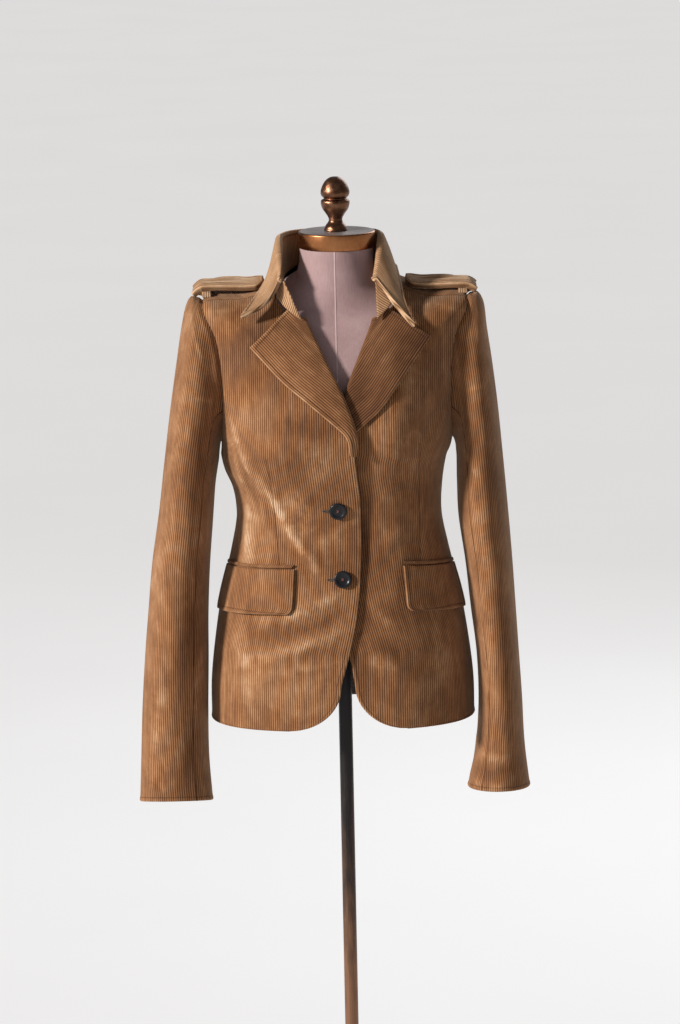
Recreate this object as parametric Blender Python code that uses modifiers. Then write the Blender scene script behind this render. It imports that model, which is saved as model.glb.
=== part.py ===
"""Corduroy jacket on a limbless dress form with a pole stand.

Metres, +Z up. The front faces -Y and +X is the wearer's left. The origin is the centre of the
base's underside. Every piece of cloth is a wall with an outer and an inner face, cut from one
body surface or one sleeve surface, so that neighbouring pieces meet at their seams.
"""
import bmesh
import bpy
import numpy as np

# ---------------------------------------------------------------- driving dimensions
CLOTH = 0.0025              # wall of the corduroy with its backing
SEAM = 0.0003               # gap between two pieces at a seam
LAYER = 0.0012              # gap between a panel and the piece that lies on it
CENTRE_X = -0.003           # the jacket hangs a little to the wearer's right of the pole
STEP = 1e-4                 # step for the slopes of a surface

# Body surface: one row for each level ring. A ring runs from the centre front over the side
# point to the centre back; from the shoulder level up, the side point is the forward shoulder
# seam. front_dz and back_dz lift the ring beside its side point.
BODY_ROWS = (
    # level, side_x, side_y, side_z, front_y, front_z, back_y, back_z, front_dz, back_dz
    (0, 0.1740, 0.000, 0.796, -0.112, 0.800, 0.108, 0.794, 0.000, 0.000),
    (1, 0.1730, 0.000, 0.850, -0.114, 0.852, 0.111, 0.848, 0.000, 0.000),
    (2, 0.1660, 0.001, 0.910, -0.112, 0.912, 0.110, 0.908, 0.000, 0.000),
    (3, 0.1560, 0.002, 0.968, -0.107, 0.970, 0.102, 0.966, 0.000, 0.000),
    (4, 0.1430, 0.002, 1.022, -0.101, 1.024, 0.090, 1.022, 0.000, 0.000),
    (5, 0.1345, 0.002, 1.068, -0.099, 1.068, 0.081, 1.070, 0.000, 0.000),
    (6, 0.1360, 0.002, 1.108, -0.105, 1.108, 0.083, 1.116, 0.000, 0.000),
    (7, 0.1415, 0.001, 1.142, -0.115, 1.148, 0.091, 1.162, 0.000, 0.000),
    (8, 0.1500, 0.000, 1.168, -0.122, 1.188, 0.098, 1.206, 0.000, 0.000),
    (9, 0.1570, -0.002, 1.240, -0.118, 1.232, 0.103, 1.262, 0.000, 0.000),
    (10, 0.1640, -0.013, 1.306, -0.103, 1.272, 0.103, 1.306, 0.002, 0.008),
    (11, 0.1710, -0.026, 1.352, -0.088, 1.302, 0.098, 1.340, -0.004, 0.022),
    (12, 0.1180, -0.026, 1.357, -0.074, 1.326, 0.087, 1.372, -0.006, 0.019),
    (13, 0.0700, -0.016, 1.372, -0.062, 1.344, 0.070, 1.400, -0.008, 0.012),
)
# The wearer's right side stands out more below the armpit.
RIGHT_SIDE_ROWS = (
    # level, extra distance of the side point
    (5.0, 0.0000), (6.0, 0.0035), (6.6, 0.0095), (7.2, 0.0095), (8.0, 0.0020), (9.0, 0.0),
)
FRONT_FLAT, FRONT_SIDE = 0.62, 0.58    # reach of the ring's handles at the centre and the side
BACK_FLAT, BACK_SIDE = 0.66, 0.56
ARMPIT_LEVEL, SHOULDER_LEVEL, NECK_LEVEL = 8.0, 11.0, 13.0
NECK_POINT_U = 0.95         # where the front's neck seam meets the shoulder seam
ARMHOLE_REACH = 0.25        # how far the armhole reaches along the ring from the side point
ARMHOLE_TURN = (0, 18, 36, 55, 75, 95, 115, 135, 155, 168, 180)    # degrees, armpit to shoulder

# Shapes that the darts give the front and the back: a swelling round a point.
SWELLS = (
    # x, z, spread, height, 1 on the front or 0 on the back
    (0.078, 1.192, 0.055, 0.0090, 1),
    (0.075, 1.290, 0.060, 0.0050, 0),
    (0.085, 0.880, 0.060, 0.0040, 0),
)

# Largest folds: a soft ridge from one point to another, seen from the front. x counts from the
# centre line, positive to the wearer's left.
FOLDS = (
    # x0, z0, x1, z1, width, height, 1 on the front or 0 on the back
    (-0.074, 1.080, -0.020, 1.006, 0.0085, 0.0035, 1),
    (-0.105, 1.105, -0.072, 1.030, 0.0080, 0.0025, 1),
    (-0.132, 0.925, -0.015, 0.972, 0.0110, 0.0030, 1),
    (-0.122, 0.880, -0.012, 0.928, 0.0100, 0.0025, 1),
    (0.026, 0.925, 0.076, 0.880, 0.0120, 0.0030, 1),
    (0.095, 1.060, 0.040, 1.035, 0.0100, 0.0020, 1),
    (-0.090, 1.050, 0.090, 1.040, 0.0120, 0.0030, 0),
    (-0.070, 1.100, 0.060, 1.090, 0.0110, 0.0025, 0),
    (-0.110, 0.960, -0.060, 0.830, 0.0140, 0.0030, 0),
    (0.060, 0.965, 0.100, 0.835, 0.0140, 0.0030, 0),
)

# Front edges and roll lines: distance from the centre line, negative where the edge passes it.
FRONT_EDGES = (
    # z, distance of the right front, distance of the left front
    (0.860, 0.0015, 0.0165),
    (0.900, -0.0095, 0.0095),
    (0.960, -0.0220, -0.0070),
    (1.020, -0.0272, -0.0170),
    (1.100, -0.0275, -0.0190),
    (1.165, -0.0215, -0.0205),
    (1.190, -0.0205, -0.0095),
    (1.234, -0.0070, 0.0090),
    (1.285, 0.0175, 0.0310),
    (1.336, 0.0420, 0.0530),
)
BREAK_Z = 1.165             # where the lapel starts to turn out
ROLL_TOP_Z = 1.336          # top of the roll line
CORNER_WIDTH, CORNER_HEIGHT = 0.068, 0.060     # curved corner of the fronts at the hem
UNDERLAP = 0.0040           # how deep the left front lies below the right one
UNDERLAP_LAPEL = 0.0085     # the same where the left lapel goes under the right one
FRONT_COLUMNS_AT = (0, 0.045, 0.09, 0.14, 0.20, 0.26, 0.33, 0.41, 0.50, 0.60, 0.70, 0.80, 0.90, 1)

# Lapels, from the roll line out: named points in x from the centre line and z.
LAPEL_EDGES = (
    # t from foot to top, x and z of the right lapel's edge, x and z of the left lapel's edge
    (0.00, -0.0150, 1.1680, 0.0100, 1.1800),
    (0.18, -0.0100, 1.1905, 0.0235, 1.1945),
    (0.36, 0.0095, 1.2090, 0.0400, 1.2085),
    (0.56, 0.0385, 1.2335, 0.0575, 1.2250),
    (0.78, 0.0705, 1.2600, 0.0840, 1.2600),
    (1.00, 0.1095, 1.3020, 0.1212, 1.3120),
)
GORGE_RIGHT, GORGE_LEFT = (0.0580, 1.3470), (0.0650, 1.3465)    # corner of lapel and collar
GORGE_AT = 0.24             # place of that corner along the lapel's top edge
LAPEL_LEFT_FOOT_Z = 1.180   # the left lapel ends here, under the right one
LAPEL_ROLL = 0.16           # part of the lapel's width that turns round the front's edge
LAPEL_ROLL_START = -40      # degrees below the edge where that turn starts
LAPEL_BELLY, LAPEL_EDGE_LIFT = 0.0016, 0.0008  # how far the lapel's middle and edge stand off
LAPEL_COLUMNS_AT = (0, 0.05, 0.105, 0.16, 0.25, 0.36, 0.50, 0.66, 0.83, 1)

# Collar: from the centre back (at = 0) round to the front end (at = 1). Fold is the top roll,
# edge is the lower edge of the fall.
COLLAR_RIGHT = (
    # at, fold_x, fold_y, fold_z, edge_x, edge_y, edge_z
    (-0.25, -0.0410, 0.0540, 1.4305, -0.0500, 0.0850, 1.3790),
    (0.00, 0.0000, 0.0640, 1.4300, 0.0000, 0.0960, 1.3800),
    (0.25, 0.0410, 0.0540, 1.4305, 0.0500, 0.0850, 1.3790),
    (0.50, 0.0650, 0.0230, 1.4305, 0.0770, 0.0400, 1.3830),
    (0.70, 0.0720, -0.0100, 1.4270, 0.0800, -0.0080, 1.3830),
    (0.85, 0.0710, -0.0380, 1.4085, 0.0950, -0.0480, 1.3650),
    (1.00, 0.0667, -0.0640, 1.3840, 0.1180, -0.0850, 1.3440),
)
COLLAR_LEFT = (
    (-0.25, -0.0370, 0.0540, 1.4305, -0.0480, 0.0850, 1.3790),
    (0.00, 0.0000, 0.0640, 1.4300, 0.0000, 0.0960, 1.3800),
    (0.25, 0.0370, 0.0540, 1.4305, 0.0480, 0.0850, 1.3790),
    (0.50, 0.0590, 0.0230, 1.4310, 0.0750, 0.0400, 1.3830),
    (0.70, 0.0620, -0.0120, 1.4265, 0.0785, -0.0080, 1.3830),
    (0.85, 0.0590, -0.0350, 1.4080, 0.0865, -0.0480, 1.3620),
    (1.00, 0.0530, -0.0560, 1.3800, 0.1019, -0.0880, 1.3250),
)
COLLAR_STEP = 0.01          # step for the slopes of the collar, across its centre back
COLLAR_AT = (0.76, 0.82, 0.88, 0.94, 1.0)      # columns of the collar in front of the shoulder seam
STAND_TIP_LIFT, STAND_TIP_DROP = 0.0118, 0.0080     # the stand's front tip over the lapel
STAND_LIFT_FROM, STAND_LIFT_TO = 0.30, 0.62         # where its seam leaves the front, as a part
NECK_POINT_AT = 0.70        # where the collar passes the shoulder seam
FALL_ROLL, FALL_TURN = 0.22, 75     # part of the fall that turns over the stand, and half its angle
FALL_FREE = 0.0018          # gap between the fall and the top of the stand, past their seam
FALL_BULGE = 0.001          # how far the fall swells out between its roll and its edge
LEAF_BELLY_RIGHT, LEAF_BELLY_LEFT = 0.0090, 0.0020  # how far the leaf's front edge is curved out
FALL_ROWS_AT = (0.0, 0.055, 0.11, 0.165, 0.22, 0.42, 0.62, 0.82, 1.0)

# Sleeves: a ring for each row, from its outer point to its inner point, with its middle and
# half depth front to back. x counts from the centre line.
SLEEVE_RIGHT = (
    # row, out_x, out_z, in_x, in_z, mid_y, half_depth, front_rise
    (0, 0.1713, 1.3620, 0.1503, 1.1680, 0.000, 0.056, 0.0000),
    (1, 0.1850, 1.3640, 0.1520, 1.1630, 0.000, 0.059, 0.0000),
    (2, 0.1935, 1.3480, 0.1535, 1.1570, -0.001, 0.061, 0.0000),
    (3, 0.2010, 1.3120, 0.1545, 1.1500, -0.002, 0.063, 0.0000),
    (4, 0.2085, 1.2650, 0.1555, 1.1420, -0.004, 0.064, 0.0000),
    (5, 0.2180, 1.2050, 0.1575, 1.1310, -0.006, 0.065, 0.0000),
    (6, 0.2270, 1.1400, 0.1610, 1.1080, -0.009, 0.065, 0.0010),
    (7, 0.2360, 1.0720, 0.1650, 1.0640, -0.012, 0.063, 0.0020),
    (8, 0.2460, 1.0080, 0.1705, 1.0040, -0.015, 0.060, 0.0030),
    (9, 0.2530, 0.9450, 0.1740, 0.9420, -0.018, 0.056, 0.0040),
    (10, 0.2595, 0.8800, 0.1755, 0.8780, -0.021, 0.052, 0.0050),
    (11, 0.2645, 0.8150, 0.1775, 0.8130, -0.023, 0.047, 0.0060),
    (12, 0.2680, 0.7500, 0.1780, 0.7500, -0.025, 0.042, 0.0075),
    (13, 0.2712, 0.6880, 0.1745, 0.6880, -0.026, 0.038, 0.0085),
)
SLEEVE_LEFT = (
    (0, 0.1713, 1.3620, 0.1503, 1.1680, 0.000, 0.056, 0.0000),
    (1, 0.1835, 1.3635, 0.1520, 1.1630, 0.000, 0.059, 0.0000),
    (2, 0.1925, 1.3470, 0.1535, 1.1570, -0.001, 0.061, 0.0000),
    (3, 0.1965, 1.3120, 0.1540, 1.1500, -0.002, 0.063, 0.0000),
    (4, 0.2025, 1.2680, 0.1545, 1.1420, -0.004, 0.064, 0.0000),
    (5, 0.2090, 1.2120, 0.1545, 1.1300, -0.006, 0.065, 0.0000),
    (6, 0.2150, 1.1450, 0.1545, 1.1060, -0.009, 0.065, 0.0010),
    (7, 0.2210, 1.0700, 0.1560, 1.0620, -0.012, 0.064, 0.0020),
    (8, 0.2255, 1.0060, 0.1640, 1.0020, -0.015, 0.063, 0.0030),
    (9, 0.2290, 0.9450, 0.1700, 0.9420, -0.018, 0.062, 0.0030),
    (10, 0.2325, 0.8820, 0.1770, 0.8800, -0.021, 0.060, 0.0030),
    (11, 0.2360, 0.8200, 0.1785, 0.8180, -0.023, 0.056, 0.0030),
    (12, 0.2385, 0.7600, 0.1740, 0.7580, -0.025, 0.050, 0.0030),
    (13, 0.2450, 0.7000, 0.1625, 0.7000, -0.026, 0.046, 0.0030),
)
SLEEVE_MORPH = (1.0, 0.55, 0.25, 0.08)     # how much of the armhole's shape each ring keeps
UNDER_SLEEVE_HALF = 55      # degrees of the ring on each side of the inner point

# Pockets: x from the centre line, along the front's surface.
FLAP_TOP_Z, FLAP_BOTTOM_Z = 1.0135, 0.9540
FLAP_DROP_RIGHT, FLAP_DROP_LEFT = 0.006, 0.010     # how much lower the flap is at the side
FLAP_SLANT = 0.004          # how far the flap's front edge leans out on its way down
FLAP_FRONT_RIGHT, FLAP_FRONT_LEFT = 0.0580, 0.0800
FLAP_SIDE_U = 0.90
FLAP_CORNER = 0.010
FLAP_LIFT = 0.0035          # how far the flap's lower edge stands off
FLAP_ROWS_AT = (0.0, 0.35, 0.65, 0.84, 0.92, 0.97, 1.0)
WELT_HEIGHT = 0.0055

# Shoulder straps, along x from the centre line and across y.
STRAP_INNER_X, STRAP_OUTER_X = 0.0920, 0.1845
STRAP_LEVEL_X = 0.1560      # from here out the strap runs level over the sleeve head
STRAP_HALF_WIDTH = 0.0200
STRAP_MIDDLE_Y = 0.002
STRAP_THICK = 0.0055
STRAP_POINT = 0.012         # length of the strap's tapered inner end
STRAP_POINT_WIDTH = 0.45    # width left at that end, as a part of the strap's
STRAP_COLUMNS_AT = (0.0, 0.07, 0.2, 0.38, 0.57, 0.75, 0.83, 0.89, 0.945, 1.0)
STRAP_CROWN = 0.0022        # how much higher the strap's middle is than its edges
STRAP_LIFT_RIGHT, STRAP_LIFT_LEFT = 0.0066, 0.0040  # how far its keeper holds a strap off the shoulder
STRAP_END_LIFT, STRAP_LIFT_X = 0.35, 0.1300         # part of that at the inner end, where it is whole
STRAP_BEND_X, STRAP_BEND = 0.1690, 0.0034           # where the strap turns down over the sleeve, how far
KEEPER_X, KEEPER_WIDTH, KEEPER_CLEAR = 0.1662, 0.0130, 0.0010
KEEPER_SINK = 0.0022        # how far a keeper's foot is below the shoulder's level part
KEEPER_FRONT_Y, KEEPER_BACK_Y = -0.0208, 0.0130

BUTTON_RADIUS, BUTTON_THICK = 0.0114, 0.0042
BUTTON_X = (-0.0014, 0.0030)       # from the centre line, upper and lower
BUTTON_Z = (1.0905, 1.0003)
BUTTON_LIFT = 0.0006        # the button's middle over the curved front, so that its back clears it
BUTTON_PROFILE = (          # part of the radius, part of the thickness
    (0.0, 0.67), (0.62, 0.67), (0.74, 1.0), (0.92, 1.0), (1.0, 0.71), (0.94, 0.19), (0.80, 0.0),
    (0.0, 0.0),
)

# Dress form and stand.
FORM_BOTTOM_LEVEL = 2.2
FORM_SEGMENTS = 28
FORM_CLEAR = 0.0020         # under the cloth where the jacket rests on the shoulders
FORM_EASE = ((0, 0.0100), (9, 0.0100), (10, 0.0080), (11, 0.0055), (12, 0.0040), (13, 0.0035))
FORM_NECK_RADIUS = 0.0475
FORM_UNDERSIDE = ((0.30, 0.016), (0.75, 0.016), (0.93, 0.014), (0.985, 0.007))  # scale, drop
FORM_NECK_ROWS = ((1.3830, 1.3700, 1.3960, 0.0520), (1.4000, 1.3960, 1.4030, 0.0480))
CAP_BOTTOM_Z, CAP_TOP_Z, CAP_RADIUS = 1.4184, 1.4397, 0.0499
CAP_X = 0.001
FINIAL_PROFILE = (          # radius and height over the cap, from the top down
    (0.0, 0.0700), (0.0062, 0.0690), (0.0120, 0.0650), (0.0165, 0.0580), (0.0188, 0.0500),
    (0.0176, 0.0452), (0.0150, 0.0425), (0.0150, 0.0412), (0.0180, 0.0395), (0.0186, 0.0350),
    (0.0165, 0.0280), (0.0120, 0.0215), (0.0092, 0.0165), (0.0092, 0.0120), (0.0128, 0.0070),
    (0.0145, 0.0030), (0.0142, 0.0), (0.0, 0.0),
)
POLE_RADIUS = 0.0090
BASE_RADIUS, BASE_HEIGHT = 0.170, 0.016
HUB_RADIUS, HUB_HEIGHT = 0.024, 0.030
BASE_PROFILE = (            # radius and height, from the hub's top down
    (0.0, HUB_HEIGHT), (HUB_RADIUS - 0.003, HUB_HEIGHT), (HUB_RADIUS, HUB_HEIGHT - 0.003),
    (HUB_RADIUS + 0.002, BASE_HEIGHT + 0.003), (HUB_RADIUS + 0.008, BASE_HEIGHT),
    (BASE_RADIUS - 0.010, BASE_HEIGHT - 0.004), (BASE_RADIUS - 0.002, BASE_HEIGHT - 0.008),
    (BASE_RADIUS, BASE_HEIGHT - 0.013), (BASE_RADIUS, 0.0), (0.0, 0.0),
)

PART_NAME = "corduroy_jacket_on_dress_form"
RIGHT, LEFT = -1.0, 1.0     # the wearer's sides, as signs of x


# ---------------------------------------------------------------- tables and blends
def curve_at(rows, at):
    """Values of a table's other columns on a smooth curve through its rows."""
    rows = np.asarray(rows, float)
    keys, values = rows[:, 0], rows[:, 1:]
    at = np.clip(np.asarray(at, float), keys[0], keys[-1])
    slopes = np.gradient(values, keys, axis=0)
    i = np.clip(np.searchsorted(keys, at, side="right") - 1, 0, len(keys) - 2)
    span = keys[i + 1] - keys[i]
    f = ((at - keys[i]) / span)[..., None]
    span = span[..., None]
    return ((2 * f**3 - 3 * f**2 + 1) * values[i] + (f**3 - 2 * f**2 + f) * span * slopes[i]
            + (3 * f**2 - 2 * f**3) * values[i + 1] + (f**3 - f**2) * span * slopes[i + 1])


def smooth(value, start, end):
    """0 before start, 1 after end, with an even blend between."""
    f = np.clip((value - start) / (end - start), 0.0, 1.0)
    return f * f * (3 - 2 * f)


def unit(vectors):
    return vectors / np.linalg.norm(vectors, axis=-1, keepdims=True)


# ---------------------------------------------------------------- body surface
def relief(x, z, t, on_front):
    """Swellings and folds, as a height over the plain rings; t is 0 at the centre, 1 at the side."""
    height = np.zeros_like(x)
    for sx, sz, spread, size, front in SWELLS:
        distance = np.hypot(np.abs(x) - sx, z - sz)
        height += np.where(on_front == front, size * np.exp(-(distance / spread) ** 2), 0.0)
    for x0, z0, x1, z1, width, size, front in FOLDS:
        along = np.array((x1 - x0, z1 - z0))
        length = np.hypot(*along)
        along /= length
        f = ((x - x0) * along[0] + (z - z0) * along[1]) / length
        across = -(x - x0) * along[1] + (z - z0) * along[0]
        taper = smooth(f, -0.15, 0.35) * (1 - smooth(f, 0.65, 1.15))
        ridge = size * taper * np.exp(-(across / width) ** 2)
        height += np.where(on_front == front, ridge, 0.0)
    return height * (1 - smooth(t, 0.60, 0.98))


def body_point(u, level, side):
    """Point of the body surface: u is 0 at the centre front, 1 at the side and 2 at the back."""
    u, level = np.broadcast_arrays(np.asarray(u, float), np.asarray(level, float))
    ring = curve_at(BODY_ROWS, level)
    side_x, side_y, side_z, front_y, front_z, back_y, back_z, front_dz, back_dz = (
        np.moveaxis(ring, -1, 0))
    if side == RIGHT:
        side_x = side_x + curve_at(RIGHT_SIDE_ROWS, level)[..., 0]
    past = np.where(u < 0, -1.0, 1.0)
    u = np.abs(u)
    on_front = u <= 1
    t = np.where(on_front, u, 2 - u)
    mid_y = np.where(on_front, front_y, back_y)
    mid_z = np.where(on_front, front_z, back_z)
    lift = np.where(on_front, front_dz, back_dz)
    flat = np.where(on_front, FRONT_FLAT, BACK_FLAT)
    pull = np.where(on_front, FRONT_SIDE, BACK_SIDE)
    b0, b1, b2, b3 = (1 - t) ** 3, 3 * (1 - t) ** 2 * t, 3 * (1 - t) * t**2, t**3
    x = side_x * (flat * b1 + b2 + b3)
    y = mid_y * (b0 + b1) + (side_y + pull * (mid_y - side_y)) * b2 + side_y * b3
    z = mid_z * b0 + (0.75 * mid_z + 0.25 * side_z) * b1 + (side_z + lift) * b2 + side_z * b3
    out = unit(np.stack((x / 0.16**2, (y - 0.25 * side_y) / 0.11**2), axis=-1))
    height = relief(x * side * past, z, t, on_front)
    x = x + out[..., 0] * height
    y = y + out[..., 1] * height
    return np.stack((CENTRE_X + side * past * x, y, z), axis=-1)


def body_normal(u, level, side):
    level = np.asarray(level, float)
    along_u = body_point(u + STEP, level, side) - body_point(u - STEP, level, side)
    along_v = body_point(u, level + STEP, side) - body_point(u, level - STEP, side)
    return unit(np.cross(along_u, along_v)) * side


def find_on_body(x, other, axis, side, u, level):
    """(u, level) where the surface has this x and this y (axis 1) or z (axis 2)."""
    x, other = np.broadcast_arrays(np.asarray(x, float), np.asarray(other, float))
    u, level = np.full(x.shape, float(u)), np.full(x.shape, float(level))
    for _ in range(40):
        here = body_point(u, level, side)
        by_u = (body_point(u + STEP, level, side) - here) / STEP
        by_v = (body_point(u, level - STEP, side) - here) / -STEP
        miss_x, miss_o = x - here[..., 0], other - here[..., axis]
        area = by_u[..., 0] * by_v[..., axis] - by_v[..., 0] * by_u[..., axis]
        u = u + np.clip((miss_x * by_v[..., axis] - by_v[..., 0] * miss_o) / area, -0.2, 0.2)
        level = level + np.clip((by_u[..., 0] * miss_o - miss_x * by_u[..., axis]) / area, -1, 1)
        level = np.clip(level, STEP, NECK_LEVEL - STEP)
    return u, level


def on_front(x, z, side):
    """(u, level) of a point of the front, from its distance to the centre line and its height."""
    return find_on_body(CENTRE_X + side * np.asarray(x, float), z, 2, side, 0.4, 7.0)


# ---------------------------------------------------------------- seam lines on the body
def armhole_reach(level):
    middle, half = (ARMPIT_LEVEL + SHOULDER_LEVEL) / 2, (SHOULDER_LEVEL - ARMPIT_LEVEL) / 2
    return ARMHOLE_REACH * np.sqrt(np.clip(1 - ((level - middle) / half) ** 2, 0, 1))


def edge_distance(z, side):
    """Distance of a front's edge from the centre line, with the curved corner at the hem."""
    column = 0 if side == RIGHT else 1
    straight = curve_at(FRONT_EDGES, z)[..., column]
    drop = np.clip((FRONT_EDGES[0][0] - z) / CORNER_HEIGHT, 0, 1)
    return straight + CORNER_WIDTH * (1 - np.sqrt(1 - drop**2))


def roll_top(side):
    """(u, level) where the roll line meets the neck seam."""
    return on_front(FRONT_EDGES[-1][1 if side == RIGHT else 2], ROLL_TOP_Z, side)


def front_edge_u(level, side):
    """u of the front edge, the roll line and the front's part of the neck seam."""
    level = np.asarray(level, float)
    low, high = np.full(level.shape, -0.4), np.full(level.shape, 0.9)
    for _ in range(40):
        middle = (low + high) / 2
        point = body_point(middle, level, side)
        outside = side * (point[..., 0] - CENTRE_X) > edge_distance(point[..., 2], side)
        low = np.where(outside, low, middle)
        high = np.where(outside, middle, high)
    roll_u, roll_level = roll_top(side)
    neck = roll_u + (NECK_POINT_U - roll_u) * (level - roll_level) / (NECK_LEVEL - roll_level)
    return np.where(level > roll_level, neck, low)


def under_sink(x, z, side):
    """Depth of the left front below the body surface, where the right front covers it."""
    if side == RIGHT:
        return np.zeros_like(x)
    near = 1 - smooth(x, 0.030, 0.078)
    lapel = smooth(z, 1.100, 1.165) * (1 - smooth(z, 1.235, 1.300))
    return near * (UNDERLAP + (UNDERLAP_LAPEL - UNDERLAP) * lapel)


# ---------------------------------------------------------------- meshes
def finish_object(name, mesh, material, collection):
    mesh.name = name
    item = bpy.data.objects.new(name, mesh)
    item.data.materials.append(material)
    collection.objects.link(item)
    return item


def cloth_wall(name, columns, rows, place, material, collection, thick=CLOTH):
    """A wall of cloth: a grid laid on the surface by place(), extruded to its inner face."""
    columns, rows = np.asarray(columns, float), np.asarray(rows, float)
    bm = bmesh.new()
    bmesh.ops.create_grid(bm, x_segments=len(columns) - 1, y_segments=len(rows) - 1, size=1.0)
    bm.verts.ensure_lookup_table()
    grid = np.array([vert.co[:2] for vert in bm.verts])
    column = np.rint((grid[:, 0] + 1) / 2 * (len(columns) - 1)).astype(int)
    row = np.rint((grid[:, 1] + 1) / 2 * (len(rows) - 1)).astype(int)
    points, normals = place(columns[column], rows[row])
    outer = list(bm.verts)
    copy = bmesh.ops.duplicate(bm, geom=bm.verts[:] + bm.edges[:] + bm.faces[:])
    inner_of = {old: new for old, new in copy["vert_map"].items() if old in set(outer)}
    for vert, point, normal in zip(outer, points, normals):
        vert.co = point
        inner_of[vert].co = point - thick * normal
    inner_faces = [item for item in copy["geom"] if isinstance(item, bmesh.types.BMFace)]
    bmesh.ops.reverse_faces(bm, faces=inner_faces)
    rim = [edge for edge in bm.edges if edge.is_boundary]
    bmesh.ops.bridge_loops(bm, edges=rim)
    bmesh.ops.recalc_face_normals(bm, faces=bm.faces)
    if bm.calc_volume(signed=True) < 0:
        bmesh.ops.reverse_faces(bm, faces=bm.faces)
    mesh = bpy.data.meshes.new(name)
    bm.to_mesh(mesh)
    bm.free()
    mesh.shade_smooth()
    mesh.set_sharp_from_angle(angle=np.radians(40))
    return finish_object(name, mesh, material, collection)


def with_normals(shape, side=1.0, step=STEP):
    """A place() for a surface given by shape(s, t), with normals from its own slopes."""
    def place(s, t):
        along_s = shape(s + step, t) - shape(s - step, t)
        along_t = shape(s, t + STEP) - shape(s, t - STEP)
        return shape(s, t), unit(np.cross(along_s, along_t)) * side
    return place


def turned(name, profile, steps, material, collection, location=(0, 0, 0), rotation=(0, 0, 0)):
    """A solid of revolution: the profile runs from the top of its axis down its outer side."""
    bm = bmesh.new()
    verts = [bm.verts.new((radius, 0.0, z)) for radius, z in profile]
    for first, second in zip(verts, verts[1:]):
        bm.edges.new((first, second))
    mesh = bpy.data.meshes.new(name)
    bm.to_mesh(mesh)
    bm.free()
    item = finish_object(name, mesh, material, collection)
    item.location, item.rotation_euler = location, rotation
    screw = item.modifiers.new("turn", "SCREW")
    screw.steps = screw.render_steps = steps
    screw.use_merge_vertices = True
    screw.merge_threshold = 0.00001
    screw.use_smooth_shade = True
    return item


def make_material(name, color, roughness, metallic=0.0):
    material = bpy.data.materials.new(name)
    material.use_nodes = True
    shader = material.node_tree.nodes["Principled BSDF"]
    shader.inputs["Base Color"].default_value = (*color, 1.0)
    shader.inputs["Roughness"].default_value = roughness
    shader.inputs["Metallic"].default_value = metallic
    material.diffuse_color = (*color, 1.0)
    return material


# ---------------------------------------------------------------- fronts and backs
def panel_levels(side):
    """Levels of the body panels' rows: close together at the hem's corner and the armhole."""
    skirt = np.array((0.0, 0.04, 0.13, 0.27, 0.48, 0.78, 1.16))
    trunk = np.linspace(1.7, 7.5, 12)
    middle, half = (ARMPIT_LEVEL + SHOULDER_LEVEL) / 2, (SHOULDER_LEVEL - ARMPIT_LEVEL) / 2
    armhole = middle - half * np.cos(np.radians(ARMHOLE_TURN))
    shoulder = np.array((11.45, 11.8, roll_top(side)[1], 12.4, 12.7, NECK_LEVEL - 0.01))
    return np.concatenate((skirt, trunk, armhole, shoulder))


def seam_reach(level, towards):
    """u of the side seam, the armhole or the shoulder seam; towards is -1 front, 1 back."""
    ring = curve_at(BODY_ROWS, level)
    side_y, mid_y = ring[..., 1], ring[..., 3 if towards < 0 else 5]
    metres_by_u = 3 * (FRONT_SIDE if towards < 0 else BACK_SIDE) * np.abs(mid_y - side_y)
    return 1 + towards * (0.8 * SEAM / metres_by_u + armhole_reach(level))


def front_place(side):
    def place(s, level):
        start = front_edge_u(level, side)
        u = start + (seam_reach(level, -1) - start) * s
        point, normal = body_point(u, level, side), body_normal(u, level, side)
        x = side * (point[..., 0] - CENTRE_X)
        sink = under_sink(x, point[..., 2], side)
        return point - sink[..., None] * normal, normal
    return place


def back_place(side):
    def place(s, level):
        side_x = curve_at(BODY_ROWS, level)[..., 0]
        centre = 2 - SEAM / (3 * BACK_FLAT * side_x)
        u = centre + (seam_reach(level, 1) - centre) * s
        return body_point(u, level, side), body_normal(u, level, side)
    return place


# ---------------------------------------------------------------- sleeves
def armhole_point(angle, side):
    """The armhole's edge: angle 0 is its top, 90 its front and 180 the armpit."""
    middle, half = (ARMPIT_LEVEL + SHOULDER_LEVEL) / 2, (SHOULDER_LEVEL - ARMPIT_LEVEL) / 2
    return body_point(1 - ARMHOLE_REACH * np.sin(angle), middle + half * np.cos(angle), side)


def sleeve_ring(rows, row, angle, side):
    columns = np.moveaxis(curve_at(rows, row), -1, 0)
    out_x, out_z, in_x, in_z, mid_y, half_depth, front_rise = columns
    x = (out_x + in_x) / 2 + (out_x - in_x) / 2 * np.cos(angle)
    z = (out_z + in_z) / 2 + (out_z - in_z) / 2 * np.cos(angle) + front_rise * np.sin(angle)
    return np.stack((CENTRE_X + side * x, mid_y - half_depth * np.sin(angle), z), axis=-1)


def sleeve_point(row, angle, side):
    rows = SLEEVE_RIGHT if side == RIGHT else SLEEVE_LEFT
    last = len(SLEEVE_MORPH)
    keep = np.interp(row, range(last + 1), SLEEVE_MORPH + (0.0,))[..., None]
    fit = armhole_point(angle, side) - sleeve_ring(rows, np.zeros_like(row), angle, side)
    return sleeve_ring(rows, row, angle, side) + keep * fit + np.array((side * SEAM, 0, 0))


def sleeve_place(side):
    """The sleeve's surface at an angle of its ring, in degrees, and a row."""
    def shape(angle, row):
        return sleeve_point(np.maximum(row, 0), np.radians(angle), side)
    return with_normals(shape, side)


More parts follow.
